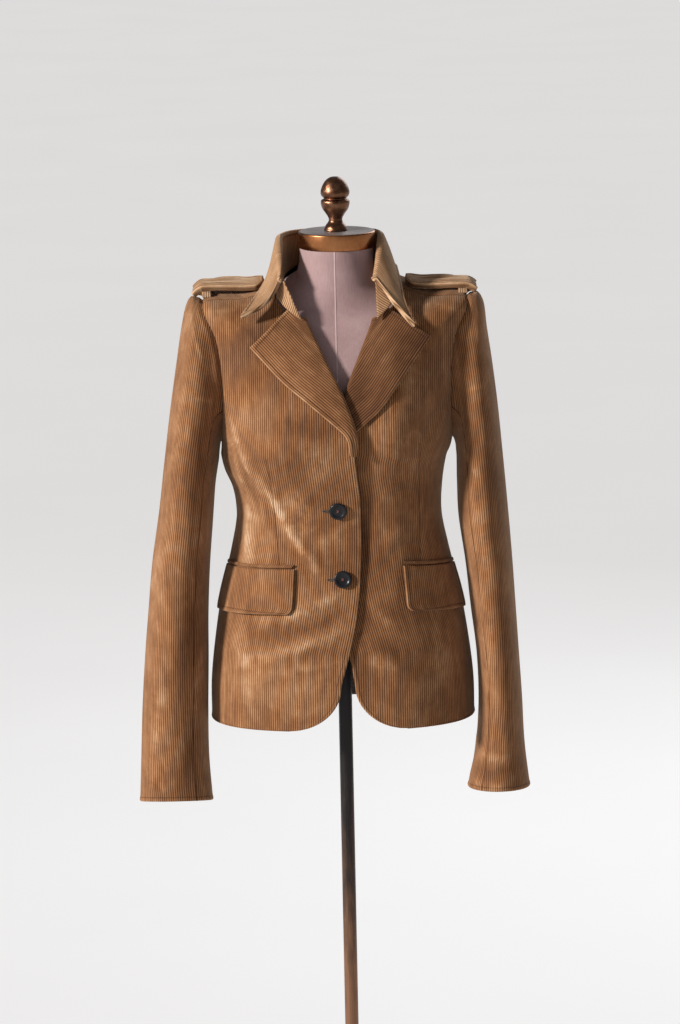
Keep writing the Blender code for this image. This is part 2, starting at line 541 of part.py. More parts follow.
def sleeve_angles():
    """Angles of the top and the under sleeve's columns, which match the armhole's rows."""
    top = [180 - turn for turn in ARMHOLE_TURN if turn >= UNDER_SLEEVE_HALF]
    under = [turn for turn in ARMHOLE_TURN if turn <= UNDER_SLEEVE_HALF]
    gap = np.degrees(SEAM / 2 / 0.05)
    top = np.array([-angle for angle in top] + top[-2::-1], float)
    under = np.array([180 - turn for turn in under[::-1]] + [180 + turn for turn in under[1:]], float)
    top[[0, -1]] += gap, -gap
    under[[0, -1]] += gap, -gap
    return top, under


def sleeve_rows():
    return np.concatenate((np.linspace(0, 5, 8), np.linspace(5.9, 13, 9)))


# ---------------------------------------------------------------- lapels
def lapel_outline(s, t, side):
    """x from the centre line and z of a lapel: s from the roll line out, t from foot to top."""
    right = side == RIGHT
    foot_z = BREAK_Z if right else LAPEL_LEFT_FOOT_Z
    roll_z = foot_z + (ROLL_TOP_Z - foot_z) * t
    roll_x = curve_at(FRONT_EDGES, roll_z)[..., 0 if right else 1]
    edge = curve_at(LAPEL_EDGES, t)[..., 0:2] if right else curve_at(LAPEL_EDGES, t)[..., 2:4]
    gorge = np.array(GORGE_RIGHT if right else GORGE_LEFT)
    top_roll = np.array((FRONT_EDGES[-1][1 if right else 2], ROLL_TOP_Z))
    tip = np.array(LAPEL_EDGES[-1][1:3] if right else LAPEL_EDGES[-1][3:5])
    corner = gorge - (top_roll + (tip - top_roll) * GORGE_AT)
    bend = np.where(s < GORGE_AT, s / GORGE_AT, (1 - s) / (1 - GORGE_AT)) * t**3
    x = roll_x + (edge[..., 0] - roll_x) * s + corner[0] * bend
    z = roll_z + (edge[..., 1] - roll_z) * s + corner[1] * bend
    return x, z


def on_lapel_ground(s, t, side):
    """Point, normal and depth of the front below a place of the lapel."""
    x, z = lapel_outline(s, t, side)
    u, level = on_front(x, z, side)
    return body_point(u, level, side), body_normal(u, level, side), under_sink(x, z, side)


def lapel_place(side):
    """The lapel turns round its front's edge and lies on the front."""
    def shape(s, t):
        out = np.clip((s - LAPEL_ROLL) / (1 - LAPEL_ROLL), 0, 1)
        point, normal, sink = on_lapel_ground(out, t, side)
        ahead, _, _ = on_lapel_ground(np.zeros_like(out), t + 0.02, side)
        behind, _, _ = on_lapel_ground(np.zeros_like(out), t - 0.02, side)
        beyond = -side * unit(np.cross(ahead - behind, normal))
        radius = CLOTH / 2 + LAYER + CLOTH
        turn = np.clip((LAPEL_ROLL - s) / LAPEL_ROLL, 0, 1)[..., None]
        wrap = (90 - LAPEL_ROLL_START) * smooth(t, -0.10, 0.22)[..., None]
        angle = np.radians(90 - wrap * turn)
        rise = radius * np.sin(angle) - CLOTH / 2
        stand_off = LAPEL_BELLY * np.sin(np.pi * out) + LAPEL_EDGE_LIFT * out
        height = rise + (stand_off * (1 - sink / UNDERLAP_LAPEL) - sink)[..., None]
        return point + radius * np.cos(angle) * beyond + height * normal
    return with_normals(shape, side)


# ---------------------------------------------------------------- collar
def neck_seam(at, side):
    """The collar's lower edge: the back's neck edge, then over the lapel's corner to the tip."""
    back = body_point(2 - np.clip(at / NECK_POINT_AT, 0, 1), NECK_LEVEL, side)
    part = np.clip((at - NECK_POINT_AT) / (1 - NECK_POINT_AT), 0, 1)
    roll_u, roll_level = roll_top(side)
    level = NECK_LEVEL + (roll_level - NECK_LEVEL) * part
    u = NECK_POINT_U + (roll_u - NECK_POINT_U) * part
    lift = 2 * SEAM + STAND_TIP_LIFT * smooth(part, STAND_LIFT_FROM, STAND_LIFT_TO)
    drop = np.array((0, -0.002, -STAND_TIP_DROP)) * part[..., None] ** 3
    front = body_point(u, level, side) + lift[..., None] * body_normal(u, level, side) + drop
    on_back = (part <= 0)[..., None]
    return np.where(on_back, back + np.array((0, 0, 2 * SEAM)), front)


def collar_lines(at, side):
    rows = COLLAR_RIGHT if side == RIGHT else COLLAR_LEFT
    line = curve_at(rows, at)
    scale = np.array((side, 1, 1))
    shift = np.array((CENTRE_X, 0, 0))
    return neck_seam(at, side), line[..., 0:3] * scale + shift, line[..., 3:6] * scale + shift


def collar_sides(around, pick):
    """Evaluates a collar line for around from -1 (right front) over 0 (back) to 1 (left front)."""
    at = np.abs(around)
    right, left = pick(at, RIGHT), pick(at, LEFT)
    return np.where((around < 0)[..., None], right, left)


def stand_shape(around, up):
    def pick(at, side):
        seam, fold, _ = collar_lines(at, side)
        return seam + (fold - seam) * up[..., None]
    return collar_sides(around, pick)


def fall_shape(around, down):
    """The fall turns over the stand's top and spreads to its lower edge."""
    def pick(at, side):
        seam, fold, edge = collar_lines(at, side)
        before = collar_lines(at - 0.02, side)[1]
        after = collar_lines(np.minimum(at + 0.02, 1), side)[1]
        out = side * unit(np.cross(fold - seam, after - before))
        up = side * unit(np.cross(after - before, out))
        sewn = (1 - smooth(at, 0.55, 0.75)) * (1 - smooth(down, 0.0, FALL_ROLL / 2))
        free = (FALL_FREE - SEAM) * (1 - sewn)[..., None]
        radius = CLOTH / 2 + SEAM + free + CLOTH
        inside = FALL_TURN * (1 - smooth(at, 0.72, 0.95))
        turn = (FALL_TURN + inside) * np.clip(down / FALL_ROLL, 0, 1) - inside
        angle = np.radians(turn)[..., None]
        roll = fold - out * CLOTH / 2 + radius * (out * np.sin(angle) + up * np.cos(angle))
        f = np.clip((down - FALL_ROLL) / (1 - FALL_ROLL), 0, 1)[..., None]
        bulge = out * FALL_BULGE * np.sin(np.pi * f) * (1 - 0.5 * f)
        belly = (LEAF_BELLY_RIGHT if side == RIGHT else LEAF_BELLY_LEFT) * np.sin(np.pi * f)
        forward = np.array((-side * 0.8, -0.3, -0.5)) * smooth(at, 0.80, 1.0)[..., None]
        return roll + (edge - fold) * f + bulge + belly * forward
    return collar_sides(around, pick)


# ---------------------------------------------------------------- pockets
def flap_place(side, top_z, bottom_z, lift, corner):
    """A piece on the front, cut square at the top and with round lower corners."""
    front_x = FLAP_FRONT_RIGHT if side == RIGHT else FLAP_FRONT_LEFT
    side_drop = FLAP_DROP_RIGHT if side == RIGHT else FLAP_DROP_LEFT

    def shape(s, t):
        height = (top_z - bottom_z) * (1 - t)
        near = np.clip((corner - height) / max(corner, STEP), 0, 1)
        inset = corner * (1 - np.sqrt(1 - near**2))
        z = bottom_z + height - side_drop * s
        u0, level = on_front(front_x + FLAP_SLANT * t + inset, z, side)
        u = u0 + (FLAP_SIDE_U - 2.5 * inset - u0) * s
        normal = body_normal(u, level, side)
        puff = lift * t * np.sin(np.pi * (0.15 + 0.7 * s))
        return body_point(u, level, side) + (LAYER + CLOTH + puff)[..., None] * normal, normal
    return shape


# ---------------------------------------------------------------- shoulder straps
def shoulder_height(x, y, side):
    """Height of the jacket's shoulder over a place in plan, level past the sleeve's seam."""
    u, level = find_on_body(CENTRE_X + side * np.minimum(x, STRAP_LEVEL_X), y, 1, side, 1.1, 11.6)
    return body_point(u, level, side)[..., 2]


def strap_lift(x, side):
    """A strap arches over its keeper and turns down past it, onto the sleeve's head."""
    held = STRAP_LIFT_RIGHT if side == RIGHT else STRAP_LIFT_LEFT
    arch = STRAP_END_LIFT + (1 - STRAP_END_LIFT) * smooth(x, STRAP_INNER_X, STRAP_LIFT_X)
    turn = np.clip((x - STRAP_BEND_X) / (STRAP_OUTER_X - STRAP_BEND_X), 0.0, 1.5) ** 2
    return held * arch - (held + STRAP_BEND) * turn


def strap_place(side):
    def shape(s, t):
        x = STRAP_INNER_X + (STRAP_OUTER_X - STRAP_INNER_X) * s
        taper = np.clip((x - STRAP_INNER_X) / STRAP_POINT, 0.0, 1.0)
        round_end = taper * (2 - taper)
        half = STRAP_HALF_WIDTH * (STRAP_POINT_WIDTH + (1 - STRAP_POINT_WIDTH) * round_end)
        y = STRAP_MIDDLE_Y + half * (2 * t - 1)
        ground = shoulder_height(x, y, side)
        crown = STRAP_CROWN * (1 - (2 * t - 1) ** 2)
        z = ground + SEAM + strap_lift(x, side) + STRAP_THICK + crown
        return np.stack((CENTRE_X + side * x, y, z), axis=-1)
    return with_normals(shape, side)


def keeper_thickness(side):
    """The keeper is a folded band that fills the room below its strap."""
    return (STRAP_LIFT_RIGHT if side == RIGHT else STRAP_LIFT_LEFT) + KEEPER_SINK - KEEPER_CLEAR


def keeper_place(side):
    def shape(s, t):
        x = KEEPER_X + KEEPER_WIDTH * (s - 0.5)
        y = KEEPER_FRONT_Y + (KEEPER_BACK_Y - KEEPER_FRONT_Y) * t
        z = shoulder_height(x, y, side) + SEAM + strap_lift(x, side) - KEEPER_CLEAR
        return np.stack((CENTRE_X + side * x, y, z), axis=-1)
    return with_normals(shape, side)


# ---------------------------------------------------------------- dress form
def form_point(u, level, side):
    """The form's torso follows the body surface at some ease below the cloth."""
    ease = curve_at(FORM_EASE, level)[..., 0]
    rest = smooth(level, 9.6, 11.0) * np.exp(-((u - 1.0) / 0.35) ** 2)
    depth = CLOTH + FORM_CLEAR + ease * (1 - rest)
    return body_point(u, level, side) - depth[..., None] * body_normal(u, level, side)


def form_rings(segments):
    """Rings of the form from its flat underside up to the neck, as lists of points."""
    turn = np.arange(segments) / segments * 4.0
    side = np.where(turn < 2, LEFT, RIGHT)
    u = np.where(turn < 2, turn, 4 - turn)

    def ring_at(level):
        level = np.full(segments, float(level))
        left, right = form_point(u, level, LEFT), form_point(u, level, RIGHT)
        return np.where((side == LEFT)[:, None], left, right)

    lowest = ring_at(FORM_BOTTOM_LEVEL)
    centre = np.array((0.0, 0.0, 0.0))
    rings = []
    for scale, drop in FORM_UNDERSIDE:
        ring = centre + (lowest - centre) * np.array((scale, scale, 1.0))
        ring[:, 2] = ring[:, 2].min() - drop if scale < 0.9 else ring[:, 2] - drop
        rings.append(ring)
    rings[1][:, 2] = rings[0][:, 2]
    rings += [ring_at(level) for level in np.linspace(FORM_BOTTOM_LEVEL, 12.9, 17)]
    angle = turn * np.pi / 2
    for side_z, front_z, back_z, radius in FORM_NECK_ROWS:
        lean = np.where(np.cos(angle) > 0, front_z - side_z, side_z - back_z)
        z = side_z + lean * np.cos(angle)
        rings.append(np.stack((radius * np.sin(angle), -radius * np.cos(angle), z), axis=-1))
    for z in (1.4090, CAP_BOTTOM_Z - SEAM):
        level = np.full(segments, z)
        rings.append(np.stack((FORM_NECK_RADIUS * np.sin(angle),
                               -FORM_NECK_RADIUS * np.cos(angle), level), axis=-1))
    return rings


def build_form(material, collection):
    """The torso is a grid wrapped into rings, with flat ends."""
    segments, rings = FORM_SEGMENTS, form_rings(FORM_SEGMENTS)
    bm = bmesh.new()
    bmesh.ops.create_grid(bm, x_segments=segments, y_segments=len(rings) - 1, size=1.0)
    for vert in bm.verts:
        column = int(round((vert.co.x + 1) / 2 * segments)) % segments
        row = int(round((vert.co.y + 1) / 2 * (len(rings) - 1)))
        vert.co = rings[row][column]
    bmesh.ops.remove_doubles(bm, verts=bm.verts, dist=0.00001)
    bmesh.ops.holes_fill(bm, edges=bm.edges, sides=0)
    bmesh.ops.recalc_face_normals(bm, faces=bm.faces)
    mesh = bpy.data.meshes.new("form_torso")
    bm.to_mesh(mesh)
    bm.free()
    mesh.shade_smooth()
    return finish_object("form_torso", mesh, material, collection)


def build_stand(materials, collection):
    form_bottom = form_rings(FORM_SEGMENTS)[0][0][2]
    rim = CAP_TOP_Z - CAP_BOTTOM_Z
    turned("neck_cap", ((0.0, rim), (CAP_RADIUS - 0.0020, rim), (CAP_RADIUS, rim - 0.0018),
                        (CAP_RADIUS - 0.0006, 0.0030), (CAP_RADIUS - 0.0014, 0.0), (0.0, 0.0)),
           36, materials["bronze"], collection, (CAP_X, 0, CAP_BOTTOM_Z))
    turned("finial", FINIAL_PROFILE, 24, materials["bronze_dark"], collection,
           (0.0, 0, CAP_TOP_Z + SEAM))
    pole_bottom, pole_top = HUB_HEIGHT + SEAM, form_bottom - SEAM
    bpy.ops.mesh.primitive_cylinder_add(vertices=20, radius=POLE_RADIUS,
                                        depth=pole_top - pole_bottom,
                                        location=(0, 0, (pole_top + pole_bottom) / 2))
    pole = bpy.context.active_object
    pole.name = pole.data.name = "pole"
    pole.data.materials.append(materials["steel"])
    pole.data.shade_smooth()
    pole.data.set_sharp_from_angle(angle=np.radians(40))
    for owner in pole.users_collection:
        owner.objects.unlink(pole)
    collection.objects.link(pole)
    turned("base", BASE_PROFILE, 48, materials["iron"], collection)


# ---------------------------------------------------------------- jacket
def build_jacket(cloth, horn, collection):
    for side, word in ((RIGHT, "right"), (LEFT, "left")):
        levels = panel_levels(side)
        cloth_wall("front_" + word, FRONT_COLUMNS_AT, levels, front_place(side), cloth, collection)
        cloth_wall("back_" + word, np.linspace(0, 1, 10), levels, back_place(side), cloth,
                   collection)
        top, under = sleeve_angles()
        rows = sleeve_rows()
        cloth_wall("sleeve_top_" + word, top, rows, sleeve_place(side), cloth, collection)
        cloth_wall("sleeve_under_" + word, under, rows, sleeve_place(side), cloth, collection)
        cloth_wall("lapel_" + word, LAPEL_COLUMNS_AT, np.linspace(0, 1, 11), lapel_place(side),
                   cloth, collection)
        flap = flap_place(side, FLAP_TOP_Z, FLAP_BOTTOM_Z, FLAP_LIFT, FLAP_CORNER)
        cloth_wall("flap_" + word, np.linspace(0, 1, 9), FLAP_ROWS_AT, flap, cloth, collection)
        welt = flap_place(side, FLAP_TOP_Z + WELT_HEIGHT, FLAP_TOP_Z + 3 * SEAM, 0.0, 0.0)
        cloth_wall("welt_" + word, np.linspace(0, 1, 9), (0.0, 1.0), welt, cloth, collection)
        cloth_wall("strap_" + word, STRAP_COLUMNS_AT, np.linspace(0, 1, 6), strap_place(side), cloth,
                   collection, STRAP_THICK)
        cloth_wall("keeper_" + word, (0.0, 1.0), np.linspace(0, 1, 13), keeper_place(side),
                   cloth, collection, keeper_thickness(side))
    at = np.concatenate((np.linspace(0, NECK_POINT_AT, 10), COLLAR_AT))
    around = np.concatenate((-at[:0:-1], at))
    cloth_wall("collar_stand", around, (0.0, 0.33, 0.66, 1.0), with_normals(stand_shape, -1.0, COLLAR_STEP),
               cloth, collection)
    cloth_wall("collar_fall", around, FALL_ROWS_AT, with_normals(fall_shape, 1.0, COLLAR_STEP), cloth,
               collection)
    for word, x, z in zip(("upper", "lower"), BUTTON_X, BUTTON_Z):
        u, level = on_front(-x, z, RIGHT)
        point, normal = body_point(u, level, RIGHT), body_normal(u, level, RIGHT)
        tilt = np.arctan2(-normal[2], -normal[1])
        place = point + BUTTON_LIFT * normal
        profile = [(BUTTON_RADIUS * part, BUTTON_THICK * height) for part, height in BUTTON_PROFILE]
        turned("button_" + word, profile, 20, horn, collection, place, (np.pi / 2 + tilt, 0, 0))


def main():
    for item in list(bpy.data.objects):
        bpy.data.objects.remove(item, do_unlink=True)
    collection = bpy.data.collections.new(PART_NAME)
    bpy.context.scene.collection.children.link(collection)
    cloth = make_material("corduroy", (0.37, 0.19, 0.085), 0.85)
    horn = make_material("button_black", (0.012, 0.012, 0.014), 0.18)
    build_jacket(cloth, horn, collection)
    linen = make_material("form_linen", (0.50, 0.35, 0.34), 0.90)
    stand = {"bronze": make_material("bronze", (0.46, 0.22, 0.09), 0.32, 1.0),
             "bronze_dark": make_material("bronze_dark", (0.15, 0.065, 0.03), 0.28, 1.0),
             "steel": make_material("pole_steel", (0.10, 0.08, 0.07), 0.45, 0.9),
             "iron": make_material("base_iron", (0.025, 0.024, 0.024), 0.55, 0.6)}
    build_form(linen, collection)
    build_stand(stand, collection)


main()
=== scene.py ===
"""Looks of the corduroy jacket on its dress form: cloth, sewing, buttons, light and camera.

The surfaces are those of the solids, with the same named values, laid out in finer grids.
"""

import bpy
import numpy as np
from mathutils import Matrix, Vector


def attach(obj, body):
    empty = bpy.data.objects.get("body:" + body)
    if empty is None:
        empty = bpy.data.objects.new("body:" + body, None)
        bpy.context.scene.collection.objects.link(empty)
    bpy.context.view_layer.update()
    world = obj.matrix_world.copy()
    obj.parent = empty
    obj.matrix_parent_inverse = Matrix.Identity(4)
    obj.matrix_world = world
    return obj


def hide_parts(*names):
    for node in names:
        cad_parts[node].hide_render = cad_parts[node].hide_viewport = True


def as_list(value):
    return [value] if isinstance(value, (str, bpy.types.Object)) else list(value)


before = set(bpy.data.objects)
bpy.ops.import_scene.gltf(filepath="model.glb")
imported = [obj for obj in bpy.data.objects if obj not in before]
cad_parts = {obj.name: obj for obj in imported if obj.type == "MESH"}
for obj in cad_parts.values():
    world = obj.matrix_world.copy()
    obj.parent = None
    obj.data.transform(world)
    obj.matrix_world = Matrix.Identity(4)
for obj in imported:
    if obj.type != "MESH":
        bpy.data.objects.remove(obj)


def metres(rows, plain=(0,)):
    """Rows in millimetres turned to metres, apart from the plain columns."""
    return tuple(tuple(v if i in plain else v / 1000 for i, v in enumerate(row)) for row in rows)


# ---- driving dimensions, in metres; the tables in metres() are written in millimetres
CLOTH = 0.0025  # wall of the corduroy with its backing
SEAM = 0.0003  # gap between two pieces at a seam
LAYER = 0.0012  # gap between a panel and the piece that lies on it
CENTRE_X = -0.003  # the jacket hangs a little to the wearer's right of the pole
STEP = 1e-4  # step for the slopes of a surface

# Body surface: one row for each level ring. A ring runs from the centre front over the side
# point to the centre back; from the shoulder level up, the side point is the forward shoulder
# seam. front_dz and back_dz lift the ring beside its side point.
BODY_ROWS = metres((
    # level, side_x, side_y, side_z, front_y, front_z, back_y, back_z, front_dz, back_dz
    (0, 174, 0, 796, -112, 800, 108, 794, 0, 0),
    (1, 173, 0, 850, -114, 852, 111, 848, 0, 0),
    (2, 166, 1, 910, -112, 912, 110, 908, 0, 0),
    (3, 156, 2, 968, -107, 970, 102, 966, 0, 0),
    (4, 143, 2, 1022, -101, 1024, 90, 1022, 0, 0),
    (5, 134.5, 2, 1068, -99, 1068, 81, 1070, 0, 0),
    (6, 136, 2, 1108, -105, 1108, 83, 1116, 0, 0),
    (7, 141.5, 1, 1142, -115, 1148, 91, 1162, 0, 0),
    (8, 150, 0, 1168, -122, 1188, 98, 1206, 0, 0),
    (9, 157, -2, 1240, -118, 1232, 103, 1262, 0, 0),
    (10, 164, -13, 1306, -103, 1272, 103, 1306, 2, 8),
    (11, 171, -26, 1352, -88, 1302, 98, 1340, -4, 22),
    (12, 118, -26, 1357, -74, 1326, 87, 1372, -6, 19),
    (13, 70, -16, 1372, -62, 1344, 70, 1400, -8, 12),
))
# The wearer's right side stands out more below the armpit.
RIGHT_SIDE_ROWS = metres((
    # level, extra distance of the side point
    (5, 0), (6, 3.5), (6.6, 9.5), (7.2, 9.5), (8, 2), (9, 0),
))
FRONT_FLAT, FRONT_SIDE = 0.62, 0.58  # reach of the ring's handles at the centre and the side
BACK_FLAT, BACK_SIDE = 0.66, 0.56
NECK_LEVEL = 13.0
HOLE_MIDDLE, HOLE_HALF = 9.5, 1.5  # levels of the armhole
FIRST_LEVELS, LAST_LEVELS = (0.0, 0.008, 0.025), (12.97, 12.99)  # rows near a panel's ends
NECK_POINT_U = 0.95  # where the front's neck seam meets the shoulder seam
ARMHOLE_REACH = 0.25  # how far the armhole reaches along the ring from the side point
ARMHOLE_TURN = (0, 18, 36, 55, 75, 95, 115, 135, 155, 168, 180)  # degrees, armpit to shoulder

# Shapes that the darts give the front and the back: a swelling round a point.
SWELLS = metres((
    # x, z, spread, height, 1 on the front or 0 on the back
    (78, 1192, 55, 9, 1), (75, 1290, 60, 5, 0), (85, 880, 60, 4, 0),
), (4,))

# Largest folds: a soft ridge from one point to another, seen from the front. x counts from the
# centre line, positive to the wearer's left.
FOLDS = metres((
    # x0, z0, x1, z1, width, height, 1 on the front or 0 on the back
    (-74, 1080, -20, 1006, 8.5, 3.5, 1),
    (-105, 1105, -72, 1030, 8, 2.5, 1),
    (-132, 925, -15, 972, 11, 3, 1),
    (-122, 880, -12, 928, 10, 2.5, 1),
    (26, 925, 76, 880, 12, 3, 1),
    (95, 1060, 40, 1035, 10, 2, 1),
    (-90, 1050, 90, 1040, 12, 3, 0),
    (-70, 1100, 60, 1090, 11, 2.5, 0),
    (-110, 960, -60, 830, 14, 3, 0),
    (60, 965, 100, 835, 14, 3, 0),
), (6,))

# Front edges and roll lines: distance from the centre line, negative where the edge passes it.
FRONT_EDGES = metres((
    # z, distance of the right front, distance of the left front
    (860, 1.5, 16.5), (900, -9.5, 9.5), (960, -22, -7), (1020, -27.2, -17), (1100, -27.5, -19),
    (1165, -21.5, -20.5), (1190, -20.5, -9.5), (1234, -7, 9), (1285, 17.5, 31), (1336, 42, 53),
), ())
BREAK_Z = 1.165  # where the lapel starts to turn out
ROLL_TOP_Z = 1.336  # top of the roll line
CORNER_WIDTH, CORNER_HEIGHT = 0.068, 0.06  # curved corner of the fronts at the hem
UNDERLAP = 0.004  # how deep the left front lies below the right one
UNDERLAP_LAPEL = 0.0085  # the same where the left lapel goes under the right one

# Lapels, from the roll line out: named points in x from the centre line and z.
LAPEL_EDGES = metres((
    # t from foot to top, x and z of the right lapel's edge, x and z of the left lapel's edge
    (0, -15, 1168, 10, 1180), (0.18, -10, 1190.5, 23.5, 1194.5), (0.36, 9.5, 1209, 40, 1208.5),
    (0.56, 38.5, 1233.5, 57.5, 1225), (0.78, 70.5, 1260, 84, 1260), (1, 109.5, 1302, 121.2, 1312),
))
GORGE_RIGHT, GORGE_LEFT = (0.058, 1.347), (0.065, 1.3465)  # corner of lapel and collar
GORGE_AT = 0.24  # place of that corner along the lapel's top edge
LAPEL_LEFT_FOOT_Z = 1.18  # the left lapel ends here, under the right one
LAPEL_ROLL = 0.16  # part of the lapel's width that turns round the front's edge
LAPEL_ROLL_START = -40  # degrees below the edge where that turn starts
LAPEL_BELLY, LAPEL_EDGE_LIFT = 0.0016, 0.0008  # how far the lapel's middle and edge stand off

# Collar: from the centre back (at = 0) round to the front end (at = 1). Fold is the top roll,
# edge is the lower edge of the fall.
COLLAR_RIGHT = metres((
    # at, fold_x, fold_y, fold_z, edge_x, edge_y, edge_z
    (-0.25, -41, 54, 1430.5, -50, 85, 1379),
    (0, 0, 64, 1430, 0, 96, 1380),
    (0.25, 41, 54, 1430.5, 50, 85, 1379),
    (0.5, 65, 23, 1430.5, 77, 40, 1383),
    (0.7, 72, -10, 1427, 80, -8, 1383),
    (0.85, 71, -38, 1408.5, 95, -48, 1365),
    (1, 66.7, -64, 1384, 118, -85, 1344),
))
COLLAR_LEFT = metres((
    (-0.25, -37, 54, 1430.5, -48, 85, 1379),
    (0, 0, 64, 1430, 0, 96, 1380),
    (0.25, 37, 54, 1430.5, 48, 85, 1379),
    (0.5, 59, 23, 1431, 75, 40, 1383),
    (0.7, 62, -12, 1426.5, 78.5, -8, 1383),
    (0.85, 59, -35, 1408, 86.5, -48, 1362),
    (1, 53, -56, 1380, 101.9, -88, 1325),
))
COLLAR_STEP = 0.01  # step for the slopes of the collar, across its centre back
STAND_TIP_LIFT, STAND_TIP_DROP = 0.0118, 0.008  # the stand's front tip over the lapel
STAND_LIFT_FROM, STAND_LIFT_TO = 0.3, 0.62  # where its seam leaves the front, as a part
NECK_POINT_AT = 0.7  # where the collar passes the shoulder seam
FALL_ROLL, FALL_TURN = 0.22, 75  # part of the fall that turns over the stand, and half its angle
FALL_FREE = 0.0018  # gap between the fall and the top of the stand, past their seam
FALL_BULGE = 0.001  # how far the fall swells out between its roll and its edge
LEAF_BELLY_RIGHT, LEAF_BELLY_LEFT = 0.009, 0.002  # how far the leaf's front edge is curved out

# Sleeves: a ring for each row, from its outer point to its inner point, with its middle and
# half depth front to back. x counts from the centre line.
SLEEVE_RIGHT = metres((
    # row, out_x, out_z, in_x, in_z, mid_y, half_depth, front_rise
    (0, 171.3, 1362, 150.3, 1168, 0, 56, 0),
    (1, 185, 1364, 152, 1163, 0, 59, 0),
    (2, 193.5, 1348, 153.5, 1157, -1, 61, 0),
    (3, 201, 1312, 154.5, 1150, -2, 63, 0),
    (4, 208.5, 1265, 155.5, 1142, -4, 64, 0),
    (5, 218, 1205, 157.5, 1131, -6, 65, 0),
    (6, 227, 1140, 161, 1108, -9, 65, 1),
    (7, 236, 1072, 165, 1064, -12, 63, 2),
    (8, 246, 1008, 170.5, 1004, -15, 60, 3),
    (9, 253, 945, 174, 942, -18, 56, 4),
    (10, 259.5, 880, 175.5, 878, -21, 52, 5),
    (11, 264.5, 815, 177.5, 813, -23, 47, 6),
    (12, 268, 750, 178, 750, -25, 42, 7.5),
    (13, 271.2, 688, 174.5, 688, -26, 38, 8.5),
))
SLEEVE_LEFT = metres((
    (0, 171.3, 1362, 150.3, 1168, 0, 56, 0),
    (1, 183.5, 1363.5, 152, 1163, 0, 59, 0),
    (2, 192.5, 1347, 153.5, 1157, -1, 61, 0),
    (3, 196.5, 1312, 154, 1150, -2, 63, 0),
    (4, 202.5, 1268, 154.5, 1142, -4, 64, 0),
    (5, 209, 1212, 154.5, 1130, -6, 65, 0),
    (6, 215, 1145, 154.5, 1106, -9, 65, 1),
    (7, 221, 1070, 156, 1062, -12, 64, 2),
    (8, 225.5, 1006, 164, 1002, -15, 63, 3),
    (9, 229, 945, 170, 942, -18, 62, 3),
    (10, 232.5, 882, 177, 880, -21, 60, 3),
    (11, 236, 820, 178.5, 818, -23, 56, 3),
    (12, 238.5, 760, 174, 758, -25, 50, 3),
    (13, 245, 700, 162.5, 700, -26, 46, 3),
))
SLEEVE_MORPH = (1.0, 0.55, 0.25, 0.08)  # how much of the armhole's shape each ring keeps
UNDER_SLEEVE_HALF = 55  # degrees of the ring on each side of the inner point

# Pockets: x from the centre line, along the front's surface.
FLAP_TOP_Z, FLAP_BOTTOM_Z = 1.0135, 0.954
FLAP_DROP_RIGHT, FLAP_DROP_LEFT = 0.006, 0.01  # how much lower the flap is at the side
FLAP_SLANT = 0.004  # how far the flap's front edge leans out on its way down
FLAP_FRONT_RIGHT, FLAP_FRONT_LEFT = 0.058, 0.08
FLAP_SIDE_U = 0.9
FLAP_CORNER = 0.01
FLAP_LIFT = 0.0035  # how far the flap's lower edge stands off
WELT_HEIGHT = 0.0055

# Shoulder straps, along x from the centre line and across y.
STRAP_INNER_X, STRAP_OUTER_X = 0.092, 0.1845
STRAP_LEVEL_X = 0.156  # from here out the strap runs level over the sleeve head
STRAP_HALF_WIDTH = 0.02
STRAP_MIDDLE_Y = 0.002
STRAP_THICK = 0.0055
STRAP_POINT = 0.012  # length of the strap's tapered inner end
STRAP_POINT_WIDTH = 0.45  # width left at that end, as a part of the strap's
STRAP_CROWN = 0.0022  # how much higher the strap's middle is than its edges
STRAP_LIFT_RIGHT, STRAP_LIFT_LEFT = 0.0066, 0.004  # how far its keeper holds a strap up
STRAP_END_LIFT, STRAP_LIFT_X = 0.35, 0.13  # part of that at the inner end, where it is whole
STRAP_BEND_X, STRAP_BEND = 0.169, 0.0034  # where the strap turns down over the sleeve, how far
KEEPER_X, KEEPER_WIDTH, KEEPER_CLEAR = 0.1662, 0.013, 0.001
KEEPER_SINK = 0.0022  # how far a keeper's foot is below the shoulder's level part
KEEPER_FRONT_Y, KEEPER_BACK_Y = -0.0208, 0.013

BUTTON_RADIUS, BUTTON_THICK = 0.0114, 0.0042
BUTTON_X = (-0.0014, 0.003)  # from the centre line, upper and lower
BUTTON_Z = (1.0905, 1.0003)
BUTTON_LIFT = 0.0006  # the button's middle over the curved front, so that its back clears it

# Dress form and stand.
FORM_BOTTOM_LEVEL = 2.2
FORM_CLEAR = 0.002  # under the cloth where the jacket rests on the shoulders
FORM_EASE = metres((
    (0, 10), (9, 10), (10, 8), (11, 5.5), (12, 4), (13, 3.5),
))
FORM_NECK_RADIUS = 0.0475
FORM_UNDERSIDE = ((0.3, 0.016), (0.75, 0.016), (0.93, 0.014), (0.985, 0.007))  # scale, drop
FORM_NECK_ROWS = ((1.383, 1.37, 1.396, 0.052), (1.4, 1.396, 1.403, 0.048))
CAP_BOTTOM_Z, CAP_TOP_Z, CAP_RADIUS = 1.4184, 1.4397, 0.0499
CAP_X = 0.001
FINIAL_PROFILE = metres((
    (0, 70), (6.2, 69), (12, 65), (16.5, 58), (18.8, 50), (17.6, 45.2), (15, 42.5), (15, 41.2),
    (18, 39.5), (18.6, 35), (16.5, 28), (12, 21.5), (9.2, 16.5), (9.2, 12), (12.8, 7), (14.5, 3),
    (14.2, 0), (0, 0),
), ())

RIGHT, LEFT = -1.0, 1.0  # the wearer's sides, as signs of x

